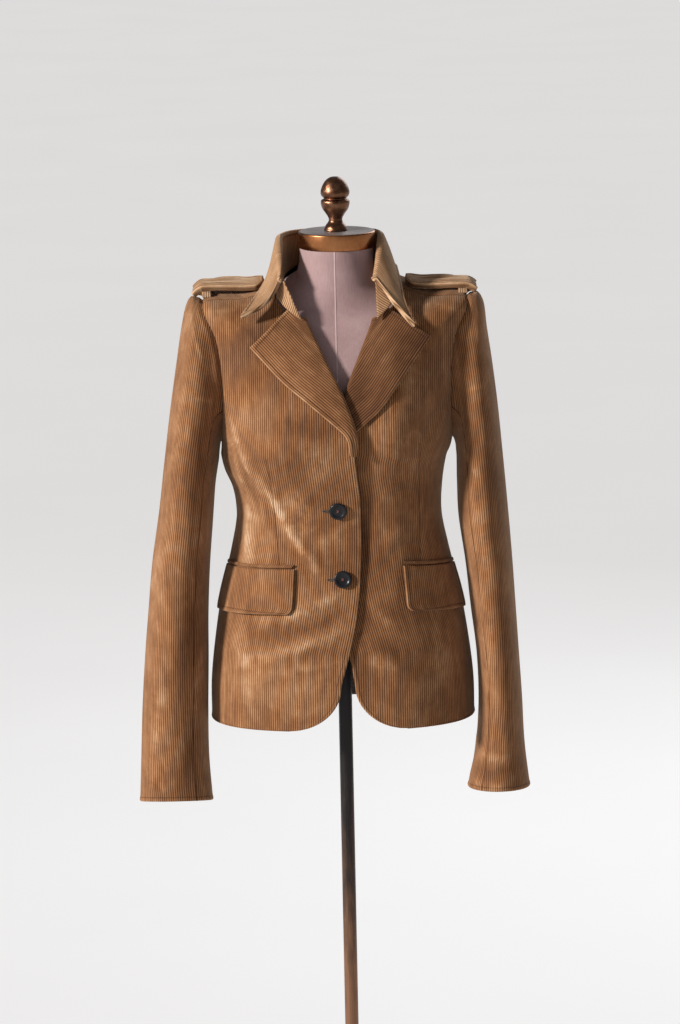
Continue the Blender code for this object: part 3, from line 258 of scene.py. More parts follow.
# ---- values of the looks
SHEET = 0.0022  # thickness of the shown cloth
STRAP_SHEET, FALL_SHEET, LEAF_SHEET = 0.0052, 0.0024, 0.0046
PUFF = 0.0019  # bulge of a doubled edge
SLEEVE_TUCK, TUCK_SPREAD = 0.001, 0.002  # a sleeve's edge slips below the body's
UPRIGHT_ABOVE = (7.5, 9.0)  # levels between which the panels' wales turn straight up
BACK_LEAST = 0.8  # least wale cloth up the back for a step round the body
UPRIGHT_SLOPE = 1.12  # most wale cloth there for a step outward
SLEEVE_LEVELS = 300  # levels at which the sleeve's wales are counted
HEAD_FOOT, HEAD_BLEND = 0.005, 0.06  # below the armhole's foot, the wales' count changes over
HEAD_TURN = (0.003, 0.016)  # depths over which the count turns from the side to the front
COLLAR_TURN = (0.45, 0.85)  # where the fall's wales turn to its front ends
EDGE_AT = (0.0, 0.0005, 0.0014, 0.003)  # columns and rows near an edge
EDGE_ROLL, SEAM_ROLL = 0.0018, 0.0004  # width of a sewn edge's roll and of a seam's
EDGE_BULK, BULK_IN, BULK_SPREAD = 0.0007, 0.0028, 0.0024  # how much thicker a turned-in edge is
SEAM_DEPTH, SEAM_SPREAD = 0.0002, 0.0022
FINE_LEVEL = 0.075  # most levels between two rows of a panel
FAR = 0.1  # distance that stands for no edge
CREASE_STEPS = 45  # places along a crease's curve
# The last share spreads a crease's painted light and shade.
CREASE_RELIEF, CREASE_SPREAD, PAINTED_LIGHT_SPREAD = 0.8, 1.15, 1.25  # shares of a crease's own values
SLEEVE_ROPE, ROPE_IN, ROPE_SPREAD = 0.0012, 0.006, 0.004  # roll of a sleeve's head
STRAP_FOLD = 0.001  # the strap's turned-under end starts this far past its keeper
STRAP_FOLD_DEEP, STRAP_FOLD_REACH = 0.008, 0.01  # how far down it reaches, and how far out
WALE_PITCH, WALE_HEIGHT, WALE_WANDER = 0.003, 0.00032, 0.0006
PILE_HEIGHT = 0.00025
# Painted shade in the corduroy's grooves: how wide, how dark and how much redder they are drawn.
RIDGE_POWER, GROOVE_SHADE, GROOVE_SHADE_TINT = 1.2, 0.2, (1.18, 1.4)
LIGHT_BASE, PATCH_SHARE, RUB_SHARE, STREAK_SHARE, PILE_SHARE = 0.455, 0.6, 0.28, 0.6, 0.42
WORN_WIDTH, STITCH_WIDTH, HEM_WIDTH, SEAM_WIDTH = 0.0022, 0.0007, 0.0008, 0.0016
STITCH_IN, STITCH_LENGTH, STITCH_DEPTH = 0.0058, 0.0035, 0.0005
CLOTH_STOPS = ((0.05, (0.085, 0.032, 0.012)), (0.42, (0.285, 0.12, 0.045)),
               (0.68, (0.45, 0.23, 0.108)), (0.95, (0.67, 0.445, 0.285)))
# Darker copy of the cloth for the wearer's left lapel: painted shade, as that side lies away from
# the key light.
SHADED_LAPEL_STOPS = ((0.05, (0.05, 0.018, 0.007)), (0.42, (0.17, 0.068, 0.025)),
                (0.68, (0.275, 0.128, 0.056)), (0.95, (0.52, 0.345, 0.22)))
# Paler copy of the cloth for the collar, straps and keepers, made lighter in part as painted light
# on these lit parts.
PALE_STOPS = ((0.05, (0.16, 0.075, 0.034)), (0.42, (0.47, 0.26, 0.132)),
              (0.68, (0.64, 0.4, 0.235)), (0.95, (0.85, 0.64, 0.45)))

# Creases: three points in x and z on a curve, then width, height and painted lightness, which
# puts painted highlight on a ridge and painted shade in a trough; rows of no height only paint a
# broad patch lighter or darker. x counts from the centre line, positive to the wearer's left.
BODY_CREASES = metres((
    (-120, 1330, -100, 1280, -75, 1220, 45, 0, -0.4),
    (-70, 1120, -55, 1075, -35, 1030, 26, 0, 0.28),
    (-135, 1060, -125, 1030, -115, 1000, 16, 0, 0.3),
    (-137.2, 1206, -118.2, 1148.3, -90.9, 1108.6, 3.8, 1.4, 0.85),
    (-146.6, 1188, -126.3, 1130.2, -114.3, 1098.6, 3, 1.2, 0.7),
    (-114.3, 1098.6, -116.3, 1069.8, -118.2, 1043.5, 4.5, 1.2, 0.6),
    (-129, 1150, -118, 1120, -106, 1090, 4.5, -1.2, -0.3),
    (-85.6, 1118.9, -73.6, 1079.4, -31.4, 1012.7, 4, 1.6, 0.9),
    (-100, 1135, -82, 1095, -56, 1064, 2.8, 1, 0.7),
    (-124, 1070, -120, 1040, -116, 1005, 3, 1, 0.6),
    (-94, 1100, -86, 1070, -56, 1023, 5, -1.4, -0.25),
    (-67.9, 1217.5, -47.8, 1204.1, -2, 1192.8, 8, -1.4, -0.45),
    (-50, 1185, -30, 1164, -5, 1130, 11, 1, 0.35),
    (19.1, 1095.8, 0.5, 1064.7, -38.5, 1041.9, 6, 0.9, 0.35),
    (-56, 1130, -50, 1090, -15, 1035, 7, 0.9, 0.3),
    (6.7, 985.6, -48, 960.2, -105.3, 940.2, 6, 1.6, 0.65),
    (14.1, 966.9, -33, 938.7, -105.7, 921.7, 6.5, -1.8, -0.5),
    (10.9, 935.2, -43.8, 915.1, -111.5, 895.2, 5.5, 1.4, 0.5),
    (-131, 943.4, -132.1, 898.3, -93.9, 876.2, 5, 1, 0.35),
    (10.1, 895.3, -54.9, 883.4, -120.1, 863.4, 6, 0.9, 0.3),
    (-130, 895, -125, 850, -110, 820, 7, 0.8, 0.3),
    (-20, 835, -50, 825, -90, 830, 6, 0.6, 0.25),
    (34.9, 979.7, 49.9, 952.9, 72.9, 939.2, 6, 1.2, 0.45),
    (28.3, 902.9, 46.1, 886.6, 74.6, 883.3, 5.5, 1.2, 0.55),
    (33.1, 1016.7, 42.8, 984.8, 63.2, 973.8, 5.5, 0.9, 0.35),
    (30, 925, 50, 910, 85, 905, 7, -1, -0.3),
    (100, 1080, 110, 1130, 118, 1180, 6, -0.8, -0.25),
    (125, 940, 130, 890, 127, 840, 6, 0.8, 0.25),
    (-164, 1343, -135, 1347.5, -90, 1349, 2.2, 0.3, 0.35),
    (90, 1350, 130, 1347, 168, 1339, 2.2, 0.3, 0.35),
), (8,))
# Left front only: a trough with painted shadow along the right front's edge, where that edge casts
# its shadow, and a broad painted lightening of the left chest.
UNDER_FRONT_PAINTED_SHADING = metres((
    (26, 1190, 28.5, 1030, 20, 840, 11, -1.2, -0.8),
    (70, 1300, 85, 1230, 90, 1150, 30, 0, 0.22),
), (8,))
BACK_CREASES = metres((
    (-115, 1085, -60, 1070, 5, 1078, 6.5, 1.4, 0.45),
    (110, 1090, 60, 1064, -8, 1062, 6, 1.4, 0.4),
    (-95, 1040, -50, 1030, -10, 1036, 6, -1, -0.3),
    (15, 1030, 60, 1024, 105, 1035, 6, -1, -0.3),
    (-125, 1250, -100, 1210, -88, 1160, 7, 1.2, 0.4),
    (128, 1245, 108, 1205, 95, 1150, 7, 1.2, 0.35),
    (-70, 1305, 0, 1295, 75, 1308, 10, 1, 0.25),
    (-90, 950, -98, 900, -92, 840, 8, 1.2, 0.35),
    (85, 960, 96, 905, 93, 830, 8, 1.2, 0.35),
    (-30, 930, -36, 880, -33, 820, 8, -1, -0.25),
    (32, 920, 35, 880, 31, 825, 8, -1, -0.25),
), (8,))
SLEEVE_CREASES_RIGHT = metres((
    (-185.5, 1340.6, -179, 1306.8, -170.5, 1278.6, 2.2, 0.8, 0.6),
    (-182.2, 1233.5, -171, 1231.2, -160.2, 1229.3, 2.2, 0.6, 0.55),
    (-200, 1260, -203, 1200, -208, 1140, 9, 1, 0.25),
    (-185, 1190, -190, 1140, -200, 1090, 8, -0.8, -0.25),
    (-230, 1070, -235, 1020, -240, 970, 9, 1, 0.25),
    (-195, 950, -205, 890, -212, 830, 8, -1.4, -0.45),
    (-185, 910, -190, 850, -195, 800, 6, 1.2, 0.35),
    (-235, 880, -240, 820, -245, 760, 8, 1, 0.3),
    (-200, 790, -205, 740, -210, 700, 7, -1.2, -0.35),
    (-260, 730, -245, 715, -225, 720, 6, 1.2, 0.35),
), (8,))
SLEEVE_CREASES_LEFT = metres((
    (162, 1235.8, 176, 1240.2, 190.7, 1242.6, 2.2, 0.6, 0.55),
    (170, 1150, 174, 1135, 185, 1125, 4, 0.7, 0.35),
    (180, 1120, 186, 1060, 190, 1000, 9, 1, 0.25),
    (200, 1180, 203, 1100, 205, 1030, 9, -0.8, -0.25),
    (185, 980, 190, 900, 188, 830, 8, 1, 0.3),
    (208, 930, 212, 860, 215, 800, 8, -1, -0.25),
    (175, 765, 195, 750, 225, 758, 6, 1.4, 0.55),
    (172, 735, 195, 728, 230, 740, 6, -1.2, -0.3),
    (170, 715, 190, 708, 220, 715, 5, 1.2, 0.5),
), (8,))
STRAP_RUMPLES = {  # along and across at both ends, width, height
    RIGHT: ((0.1, 0.3, 0.8, 0.22, 0.08, 0.0013), (0.3, 0.52, 0.98, 0.4, 0.07, -0.0012),
            (0.25, 0.78, 0.95, 0.66, 0.09, 0.0016), (0.55, 0.2, 1.1, 0.34, 0.07, 0.0009)),
    LEFT: ((0.15, 0.26, 0.98, 0.34, 0.08, 0.0014), (0.1, 0.46, 0.7, 0.56, 0.07, -0.0013),
           (0.2, 0.62, 0.95, 0.8, 0.09, 0.0017), (0.5, 0.5, 1.15, 0.52, 0.06, -0.001)),
}
DART_RIGHT = metres((
    # z, distance from the centre line, cloth taken in
    (1012, 78.5, 8), (1040.1, 79.7, 11), (1070, 82, 12), (1118.9, 86.8, 7), (1160.8, 92.3, 0),
), ())
DART_LEFT = metres((
    (1012, 104, 8), (1040.1, 104.1, 11), (1070, 104.1, 12), (1115, 104.2, 7.5), (1177.5, 105.2, 0),
), ())
BUTTON_FINE = (  # part of the radius, part of the thickness
    (0.0, 0.56), (0.2, 0.57), (0.42, 0.62), (0.58, 0.72), (0.68, 0.9), (0.76, 1.0),
    (0.86, 1.0), (0.95, 0.9), (1.0, 0.66), (0.98, 0.4), (0.92, 0.18), (0.8, 0.02), (0.0, 0.02),
)
BUTTON_DISH, BUTTON_HOLE = 0.57, 0.0016  # height of the middle, and a hole's distance from it
BUTTONHOLE_POINTS, BUTTONHOLE_HALF = 40, 0.0011
BUTTONHOLE_SHIFT, BUTTONHOLE_LENGTH = 0.001, 0.019
TUBE_UP = (0.0, -1.0, 0.2)  # out of the front, for the tubes' first normal
FLOOR_SIDES = 64
CAP_ROUND = 0.0022, 0.002  # width and height of the cap's round edge
CAP_FOOT = ((0.0006, 0.003), (0.0014, 0.0004), (0.003, 0.0))  # inset and height
# Near-black lining of the inner faces, dark enough to stand in as painted shade inside the jacket.
LINING_AND_SHADE_COLOR = (0.03, 0.017, 0.012)
THREAD_RED, THREAD_DARK = (0.16, 0.035, 0.022), (0.05, 0.026, 0.016)
# Grids: length and spacing of the columns or the rows.
PANEL_COLUMNS, SLEEVE_ROWS = (0.17, 0.003), (0.7, 0.0035, 0.0, 13.0)
TOP_COLUMNS, UNDER_COLUMNS, SLEEVE_RADIUS = (0.25, 0.003), (0.11, 0.003), 0.05
LAPEL_GRID, FLAP_GRID = ((0.1, 0.002), (0.2, 0.0025)), ((0.1, 0.0018), (0.06, 0.0015))
WELT_GRID, STRAP_GRID = ((0.1, 0.0018), (0.005, 0.001)), ((0.09, 0.0018), (0.04, 0.0018))
KEEPER_GRID = (0.012, 0.001), (0.034, 0.001)
STAND_ROWS, FALL_ROWS = (0.045, 0.002), (0.08, 0.0018)
COLLAR_ENDS, COLLAR_SPACING = (-1.0, -0.996, -0.99, -0.98, 0.98, 0.99, 0.996, 1.0), 0.008
LEAF_FROM = (0.55, 0.9)  # where round the collar the fall gets thicker
LINEN_PITCH = 0.0009
LINEN_STOPS = ((0.1, (0.2, 0.115, 0.112)), (0.5, (0.3, 0.18, 0.176)), (0.95, (0.52, 0.39, 0.38)))
BRONZE_STOPS = ((0.1, (0.15, 0.055, 0.02)), (0.5, (0.31, 0.12, 0.045)), (0.95, (0.5, 0.23, 0.1)))
# Pale grey for the cap's flat top: a painted reflection of bright surroundings on the bronze.
CAP_TOP_REFLECTION_STOPS = ((0.1, (0.42, 0.36, 0.34)), (0.5, (0.56, 0.5, 0.48)), (0.95, (0.7, 0.65, 0.63)))
DARK_STOPS = ((0.1, (0.045, 0.02, 0.012)), (0.5, (0.135, 0.062, 0.034)), (0.95, (0.34, 0.17, 0.1)))
POLE_STOPS = ((0.15, (0.02, 0.018, 0.018)), (0.5, (0.075, 0.045, 0.032)),
              (0.85, (0.23, 0.115, 0.065)))
BASE_STOPS = ((0.1, (0.012, 0.012, 0.012)), (0.9, (0.035, 0.034, 0.033)))
HORN_STOPS = ((0.2, (0.004, 0.004, 0.005)), (0.9, (0.018, 0.018, 0.022)))
FLOOR_STOPS = ((0.2, (0.93, 0.93, 0.94)), (0.8, (0.96, 0.96, 0.97)))
FORM_SEAM_X = -0.002
FINE_SEGMENTS = 120

CAMERA_PLACE, CAMERA_AIM = (0.0, -5.05, 2.1), (0.0, 0.0, 1.068)
CAMERA_ROLL, CAMERA_LENS, CAMERA_SHIFT = -1.17, 138.06, -1.5 / 1024
FLOOR_RADIUS = 45.0
WORLD_COLOR, WORLD_STRENGTH = (0.88, 0.89, 0.92), 0.22
LIGHTS = (
    # name, kind, place, aim, size, power, colour
    ("key", "SUN", (-4.7, -2.3, 3.1), (0.0, 0.0, 1.1), 0.14, 5.2, (1.0, 0.975, 0.94)),
    ("back", "AREA", (1.4, 2.8, 2.6), (0.0, 0.0, 1.1), 2.0, 30.0, (0.95, 0.97, 1.0)),
)


# ---- tables and blends
def curve_at(rows, at):
    """Values of a table's other columns on a smooth curve through its rows."""
    rows = np.asarray(rows, float)
    keys, values = rows[:, 0], rows[:, 1:]
    at = np.clip(np.asarray(at, float), keys[0], keys[-1])
    slopes = np.gradient(values, keys, axis=0)
    i = np.clip(np.searchsorted(keys, at, side="right") - 1, 0, len(keys) - 2)
    span = keys[i + 1] - keys[i]
    f = ((at - keys[i]) / span)[..., None]
    span = span[..., None]
    return ((2 * f**3 - 3 * f**2 + 1) * values[i] + (f**3 - 2 * f**2 + f) * span * slopes[i]
            + (3 * f**2 - 2 * f**3) * values[i + 1] + (f**3 - f**2) * span * slopes[i + 1])


def smooth(value, start, end):
    """0 before start, 1 after end, with an even blend between."""
    f = np.clip((value - start) / (end - start), 0.0, 1.0)
    return f * f * (3 - 2 * f)


def unit(vectors):
    return vectors / np.linalg.norm(vectors, axis=-1, keepdims=True)


# ---- body surface
def relief(x, z, t, on_front):
    """Height of swellings and folds over the plain rings; t is 0 at the centre, 1 at the side."""
    height = np.zeros_like(x)
    for sx, sz, spread, size, front in SWELLS:
        distance = np.hypot(np.abs(x) - sx, z - sz)
        height += np.where(on_front == front, size * np.exp(-(distance / spread) ** 2), 0.0)
    for x0, z0, x1, z1, width, size, front in FOLDS:
        along = np.array((x1 - x0, z1 - z0))
        length = np.hypot(*along)
        along /= length
        f = ((x - x0) * along[0] + (z - z0) * along[1]) / length
        across = -(x - x0) * along[1] + (z - z0) * along[0]
        taper = smooth(f, -0.15, 0.35) * (1 - smooth(f, 0.65, 1.15))
        ridge = size * taper * np.exp(-(across / width) ** 2)
        height += np.where(on_front == front, ridge, 0.0)
    return height * (1 - smooth(t, 0.6, 0.98))


def body_point(u, level, side):
    """Point of the body surface: u is 0 at the centre front, 1 at the side and 2 at the back."""
    u, level = np.broadcast_arrays(np.asarray(u, float), np.asarray(level, float))
    ring = curve_at(BODY_ROWS, level)
    side_x, side_y, side_z, front_y, front_z, back_y, back_z, front_dz, back_dz = (
        np.moveaxis(ring, -1, 0))
    if side == RIGHT:
        side_x = side_x + curve_at(RIGHT_SIDE_ROWS, level)[..., 0]
    past = np.where(u < 0, -1.0, 1.0)
    u = np.abs(u)
    on_front = u <= 1
    t = np.where(on_front, u, 2 - u)
    mid_y = np.where(on_front, front_y, back_y)
    mid_z = np.where(on_front, front_z, back_z)
    lift = np.where(on_front, front_dz, back_dz)
    flat = np.where(on_front, FRONT_FLAT, BACK_FLAT)
    pull = np.where(on_front, FRONT_SIDE, BACK_SIDE)
    b0, b1, b2, b3 = (1 - t) ** 3, 3 * (1 - t) ** 2 * t, 3 * (1 - t) * t**2, t**3
    x = side_x * (flat * b1 + b2 + b3)
    y = mid_y * (b0 + b1) + (side_y + pull * (mid_y - side_y)) * b2 + side_y * b3
    z = mid_z * b0 + (0.75 * mid_z + 0.25 * side_z) * b1 + (side_z + lift) * b2 + side_z * b3
    out = unit(np.stack((x / 0.16**2, (y - 0.25 * side_y) / 0.11**2), axis=-1))
    height = relief(x * side * past, z, t, on_front)
    x = x + out[..., 0] * height
    y = y + out[..., 1] * height
    return np.stack((CENTRE_X + side * past * x, y, z), axis=-1)


def body_normal(u, level, side):
    level = np.asarray(level, float)
    along_u = body_point(u + STEP, level, side) - body_point(u - STEP, level, side)
    along_v = body_point(u, level + STEP, side) - body_point(u, level - STEP, side)
    return unit(np.cross(along_u, along_v)) * side


def find_on_body(x, other, axis, side, u, level):
    """(u, level) where the surface has this x and this y (axis 1) or z (axis 2)."""
    x, other = np.broadcast_arrays(np.asarray(x, float), np.asarray(other, float))
    u, level = np.full(x.shape, float(u)), np.full(x.shape, float(level))
    for _ in range(16):
        here = body_point(u, level, side)
        by_u = (body_point(u + STEP, level, side) - here) / STEP
        by_v = (body_point(u, level - STEP, side) - here) / -STEP
        miss_x, miss_o = x - here[..., 0], other - here[..., axis]
        area = by_u[..., 0] * by_v[..., axis] - by_v[..., 0] * by_u[..., axis]
        u = u + np.clip((miss_x * by_v[..., axis] - by_v[..., 0] * miss_o) / area, -0.2, 0.2)
        level = level + np.clip((by_u[..., 0] * miss_o - miss_x * by_u[..., axis]) / area, -1, 1)
        level = np.clip(level, STEP, NECK_LEVEL - STEP)
    return u, level


def on_front(x, z, side):
    """(u, level) of a point of the front, from its distance to the centre line and its height."""
    return find_on_body(CENTRE_X + side * np.asarray(x, float), z, 2, side, 0.4, 7.0)


# ---- seam lines on the body
def armhole_reach(level):
    return ARMHOLE_REACH * np.sqrt(np.clip(1 - ((level - HOLE_MIDDLE) / HOLE_HALF) ** 2, 0, 1))


def front_edge(z, side):
    """Distance of a front's edge and roll line from the centre line."""
    return curve_at(FRONT_EDGES, z)[..., 0 if side == RIGHT else 1]


def edge_distance(z, side):
    """Distance of a front's edge from the centre line, with the curved corner at the hem."""
    drop = np.clip((FRONT_EDGES[0][0] - z) / CORNER_HEIGHT, 0, 1)
    return front_edge(z, side) + CORNER_WIDTH * (1 - np.sqrt(1 - drop**2))


def roll_top(side):
    """(u, level) where the roll line meets the neck seam."""
    return on_front(FRONT_EDGES[-1][1 if side == RIGHT else 2], ROLL_TOP_Z, side)


def front_edge_u(level, side):
    """u of the front edge, the roll line and the front's part of the neck seam."""
    level = np.asarray(level, float)
    low, high = np.full(level.shape, -0.4), np.full(level.shape, 0.9)
    for _ in range(26):
        middle = (low + high) / 2
        point = body_point(middle, level, side)
        outside = side * (point[..., 0] - CENTRE_X) > edge_distance(point[..., 2], side)
        low = np.where(outside, low, middle)
        high = np.where(outside, middle, high)
    roll_u, roll_level = roll_top(side)
    neck = roll_u + (NECK_POINT_U - roll_u) * (level - roll_level) / (NECK_LEVEL - roll_level)
    return np.where(level > roll_level, neck, low)


def under_sink(x, z, side):
    """Depth of the left front below the body surface, where the right front covers it."""
    if side == RIGHT:
        return np.zeros_like(x)
    near = 1 - smooth(x, 0.03, 0.078)
    lapel = smooth(z, 1.1, 1.165) * (1 - smooth(z, 1.235, 1.3))
    return near * (UNDERLAP + (UNDERLAP_LAPEL - UNDERLAP) * lapel)


def with_normals(shape, side=1.0, step=STEP):
    """A place() for a surface given by shape(s, t), with normals from its own slopes."""
    def place(s, t):
        along_s = shape(s + step, t) - shape(s - step, t)
        along_t = shape(s, t + STEP) - shape(s, t - STEP)
        return shape(s, t), unit(np.cross(along_s, along_t)) * side
    return place


# ---- fronts and backs
def panel_levels(side):
    """Levels of the body panels' rows: close together at the hem's corner and the armhole."""
    skirt = np.array((0.04, 0.13, 0.27, 0.48, 0.78, 1.16))
    armhole = HOLE_MIDDLE - HOLE_HALF * np.cos(np.radians(ARMHOLE_TURN))
    shoulder = np.array((11.45, 11.8, roll_top(side)[1], 12.4, 12.7))
    return np.concatenate((FIRST_LEVELS, skirt, np.linspace(1.7, 7.5, 12), armhole, shoulder,
                           LAST_LEVELS))


def seam_reach(level, towards):
    """u of the side seam, the armhole or the shoulder seam; towards is -1 front, 1 back."""
    ring = curve_at(BODY_ROWS, level)
    side_y, mid_y = ring[..., 1], ring[..., 3 if towards < 0 else 5]
    metres_by_u = 3 * (FRONT_SIDE if towards < 0 else BACK_SIDE) * np.abs(mid_y - side_y)
    return 1 + towards * (0.8 * SEAM / metres_by_u + armhole_reach(level))


def front_place(side):
    def place(s, level):
        start = front_edge_u(level, side)
        u = start + (seam_reach(level, -1) - start) * s
        point, normal = body_point(u, level, side), body_normal(u, level, side)
        x = side * (point[..., 0] - CENTRE_X)
        sink = under_sink(x, point[..., 2], side)
        return point - sink[..., None] * normal, normal
    return place


def back_place(side):
    def place(s, level):
        side_x = curve_at(BODY_ROWS, level)[..., 0]
        centre = 2 - SEAM / (3 * BACK_FLAT * side_x)
        u = centre + (seam_reach(level, 1) - centre) * s
        return body_point(u, level, side), body_normal(u, level, side)
    return place


# ---- sleeves
def armhole_point(angle, side):
    """The armhole's edge: angle 0 is its top, 90 its front and 180 the armpit."""
    level = HOLE_MIDDLE + HOLE_HALF * np.cos(angle)
    return body_point(1 - ARMHOLE_REACH * np.sin(angle), level, side)


def sleeve_ring(rows, row, angle, side):
    columns = np.moveaxis(curve_at(rows, row), -1, 0)
    out_x, out_z, in_x, in_z, mid_y, half_depth, front_rise = columns
    x = (out_x + in_x) / 2 + (out_x - in_x) / 2 * np.cos(angle)
    z = (out_z + in_z) / 2 + (out_z - in_z) / 2 * np.cos(angle) + front_rise * np.sin(angle)
    return np.stack((CENTRE_X + side * x, mid_y - half_depth * np.sin(angle), z), axis=-1)


def sleeve_point(row, angle, side):
    rows = SLEEVE_RIGHT if side == RIGHT else SLEEVE_LEFT
    last = len(SLEEVE_MORPH)
    keep = np.interp(row, range(last + 1), SLEEVE_MORPH + (0.0,))[..., None]
    fit = armhole_point(angle, side) - sleeve_ring(rows, np.zeros_like(row), angle, side)
    return sleeve_ring(rows, row, angle, side) + keep * fit + np.array((side * SEAM, 0, 0))


def sleeve_place(side):
    """The sleeve's surface at an angle of its ring, in degrees, and a row."""
    def shape(angle, row):
        return sleeve_point(np.maximum(row, 0), np.radians(angle), side)
    return with_normals(shape, side)


# ---- lapels
def lapel_outline(s, t, side):
    """x from the centre line and z of a lapel: s from the roll line out, t from foot to top."""
    foot_z, gorge, first = ((BREAK_Z, GORGE_RIGHT, 0) if side == RIGHT
                            else (LAPEL_LEFT_FOOT_Z, GORGE_LEFT, 2))
    roll_z = foot_z + (ROLL_TOP_Z - foot_z) * t
    roll_x = front_edge(roll_z, side)
    edge = curve_at(LAPEL_EDGES, t)[..., first:first + 2]
    top_roll = np.array((FRONT_EDGES[-1][1 if side == RIGHT else 2], ROLL_TOP_Z))
    tip = np.array(LAPEL_EDGES[-1][first + 1:first + 3])
    corner = gorge - (top_roll + (tip - top_roll) * GORGE_AT)
    bend = np.where(s < GORGE_AT, s / GORGE_AT, (1 - s) / (1 - GORGE_AT)) * t**3
    x = roll_x + (edge[..., 0] - roll_x) * s + corner[0] * bend
    z = roll_z + (edge[..., 1] - roll_z) * s + corner[1] * bend
    return x, z


def on_lapel_ground(s, t, side):
    """Point, normal and depth of the front below a place of the lapel."""
    x, z = lapel_outline(s, t, side)
    u, level = on_front(x, z, side)
    return body_point(u, level, side), body_normal(u, level, side), under_sink(x, z, side)


def lapel_place(side):
    """The lapel turns round its front's edge and lies on the front."""
    def shape(s, t):
        out = np.clip((s - LAPEL_ROLL) / (1 - LAPEL_ROLL), 0, 1)
        point, normal, sink = on_lapel_ground(out, t, side)
        ahead, _, _ = on_lapel_ground(np.zeros_like(out), t + 0.02, side)
        behind, _, _ = on_lapel_ground(np.zeros_like(out), t - 0.02, side)
        beyond = -side * unit(np.cross(ahead - behind, normal))
        radius = CLOTH / 2 + LAYER + CLOTH
        turn = np.clip((LAPEL_ROLL - s) / LAPEL_ROLL, 0, 1)[..., None]
        wrap = (90 - LAPEL_ROLL_START) * smooth(t, -0.1, 0.22)[..., None]
        angle = np.radians(90 - wrap * turn)
        rise = radius * np.sin(angle) - CLOTH / 2
        stand_off = LAPEL_BELLY * np.sin(np.pi * out) + LAPEL_EDGE_LIFT * out
        height = rise + (stand_off * (1 - sink / UNDERLAP_LAPEL) - sink)[..., None]
        return point + radius * np.cos(angle) * beyond + height * normal
    return with_normals(shape, side)


# ---- collar
def neck_seam(at, side):
    """The collar's lower edge: the back's neck edge, then over the lapel's corner to the tip."""
    back = body_point(2 - np.clip(at / NECK_POINT_AT, 0, 1), NECK_LEVEL, side)
    part = np.clip((at - NECK_POINT_AT) / (1 - NECK_POINT_AT), 0, 1)
    roll_u, roll_level = roll_top(side)
    level = NECK_LEVEL + (roll_level - NECK_LEVEL) * part
    u = NECK_POINT_U + (roll_u - NECK_POINT_U) * part
    lift = 2 * SEAM + STAND_TIP_LIFT * smooth(part, STAND_LIFT_FROM, STAND_LIFT_TO)
    drop = np.array((0, -0.002, -STAND_TIP_DROP)) * part[..., None] ** 3
    front = body_point(u, level, side) + lift[..., None] * body_normal(u, level, side) + drop
    on_back = (part <= 0)[..., None]
    return np.where(on_back, back + np.array((0, 0, 2 * SEAM)), front)


def collar_lines(at, side):
    rows = COLLAR_RIGHT if side == RIGHT else COLLAR_LEFT
    line = curve_at(rows, at)
    scale = np.array((side, 1, 1))
    shift = np.array((CENTRE_X, 0, 0))
    return neck_seam(at, side), line[..., 0:3] * scale + shift, line[..., 3:6] * scale + shift


def collar_sides(around, pick):
    """Evaluates a collar line for around from -1 (right front) over 0 (back) to 1 (left front)."""
    at = np.abs(around)
    right, left = pick(at, RIGHT), pick(at, LEFT)
    return np.where((around < 0)[..., None], right, left)


def stand_shape(around, up):
    def pick(at, side):
        seam, fold, _ = collar_lines(at, side)
        return seam + (fold - seam) * up[..., None]
    return collar_sides(around, pick)


def fall_shape(around, down):
    """The fall turns over the stand's top and spreads to its lower edge."""
    def pick(at, side):
        seam, fold, edge = collar_lines(at, side)
        before = collar_lines(at - 0.02, side)[1]
        after = collar_lines(np.minimum(at + 0.02, 1), side)[1]
        out = side * unit(np.cross(fold - seam, after - before))
        up = side * unit(np.cross(after - before, out))
        sewn = (1 - smooth(at, 0.55, 0.75)) * (1 - smooth(down, 0.0, FALL_ROLL / 2))
        free = (FALL_FREE - SEAM) * (1 - sewn)[..., None]
        radius = CLOTH / 2 + SEAM + free + CLOTH
        inside = FALL_TURN * (1 - smooth(at, 0.72, 0.95))
        turn = (FALL_TURN + inside) * np.clip(down / FALL_ROLL, 0, 1) - inside
        angle = np.radians(turn)[..., None]
        roll = fold - out * CLOTH / 2 + radius * (out * np.sin(angle) + up * np.cos(angle))
        f = np.clip((down - FALL_ROLL) / (1 - FALL_ROLL), 0, 1)[..., None]
        bulge = out * FALL_BULGE * np.sin(np.pi * f) * (1 - 0.5 * f)
        belly = (LEAF_BELLY_RIGHT if side == RIGHT else LEAF_BELLY_LEFT) * np.sin(np.pi * f)
        forward = np.array((-side * 0.8, -0.3, -0.5)) * smooth(at, 0.8, 1.0)[..., None]
        return roll + (edge - fold) * f + bulge + belly * forward
    return collar_sides(around, pick)


# ---- pockets
def flap_place(side, top_z, bottom_z, lift, corner):
    """A piece on the front, cut square at the top and with round lower corners."""
    front_x = FLAP_FRONT_RIGHT if side == RIGHT else FLAP_FRONT_LEFT
    side_drop = FLAP_DROP_RIGHT if side == RIGHT else FLAP_DROP_LEFT

    def shape(s, t):
        height = (top_z - bottom_z) * (1 - t)
        near = np.clip((corner - height) / max(corner, STEP), 0, 1)
        inset = corner * (1 - np.sqrt(1 - near**2))
        z = bottom_z + height - side_drop * s
        u0, level = on_front(front_x + FLAP_SLANT * t + inset, z, side)
        u = u0 + (FLAP_SIDE_U - 2.5 * inset - u0) * s
        normal = body_normal(u, level, side)
        puff = lift * t * np.sin(np.pi * (0.15 + 0.7 * s))
        return body_point(u, level, side) + (LAYER + CLOTH + puff)[..., None] * normal, normal
    return shape


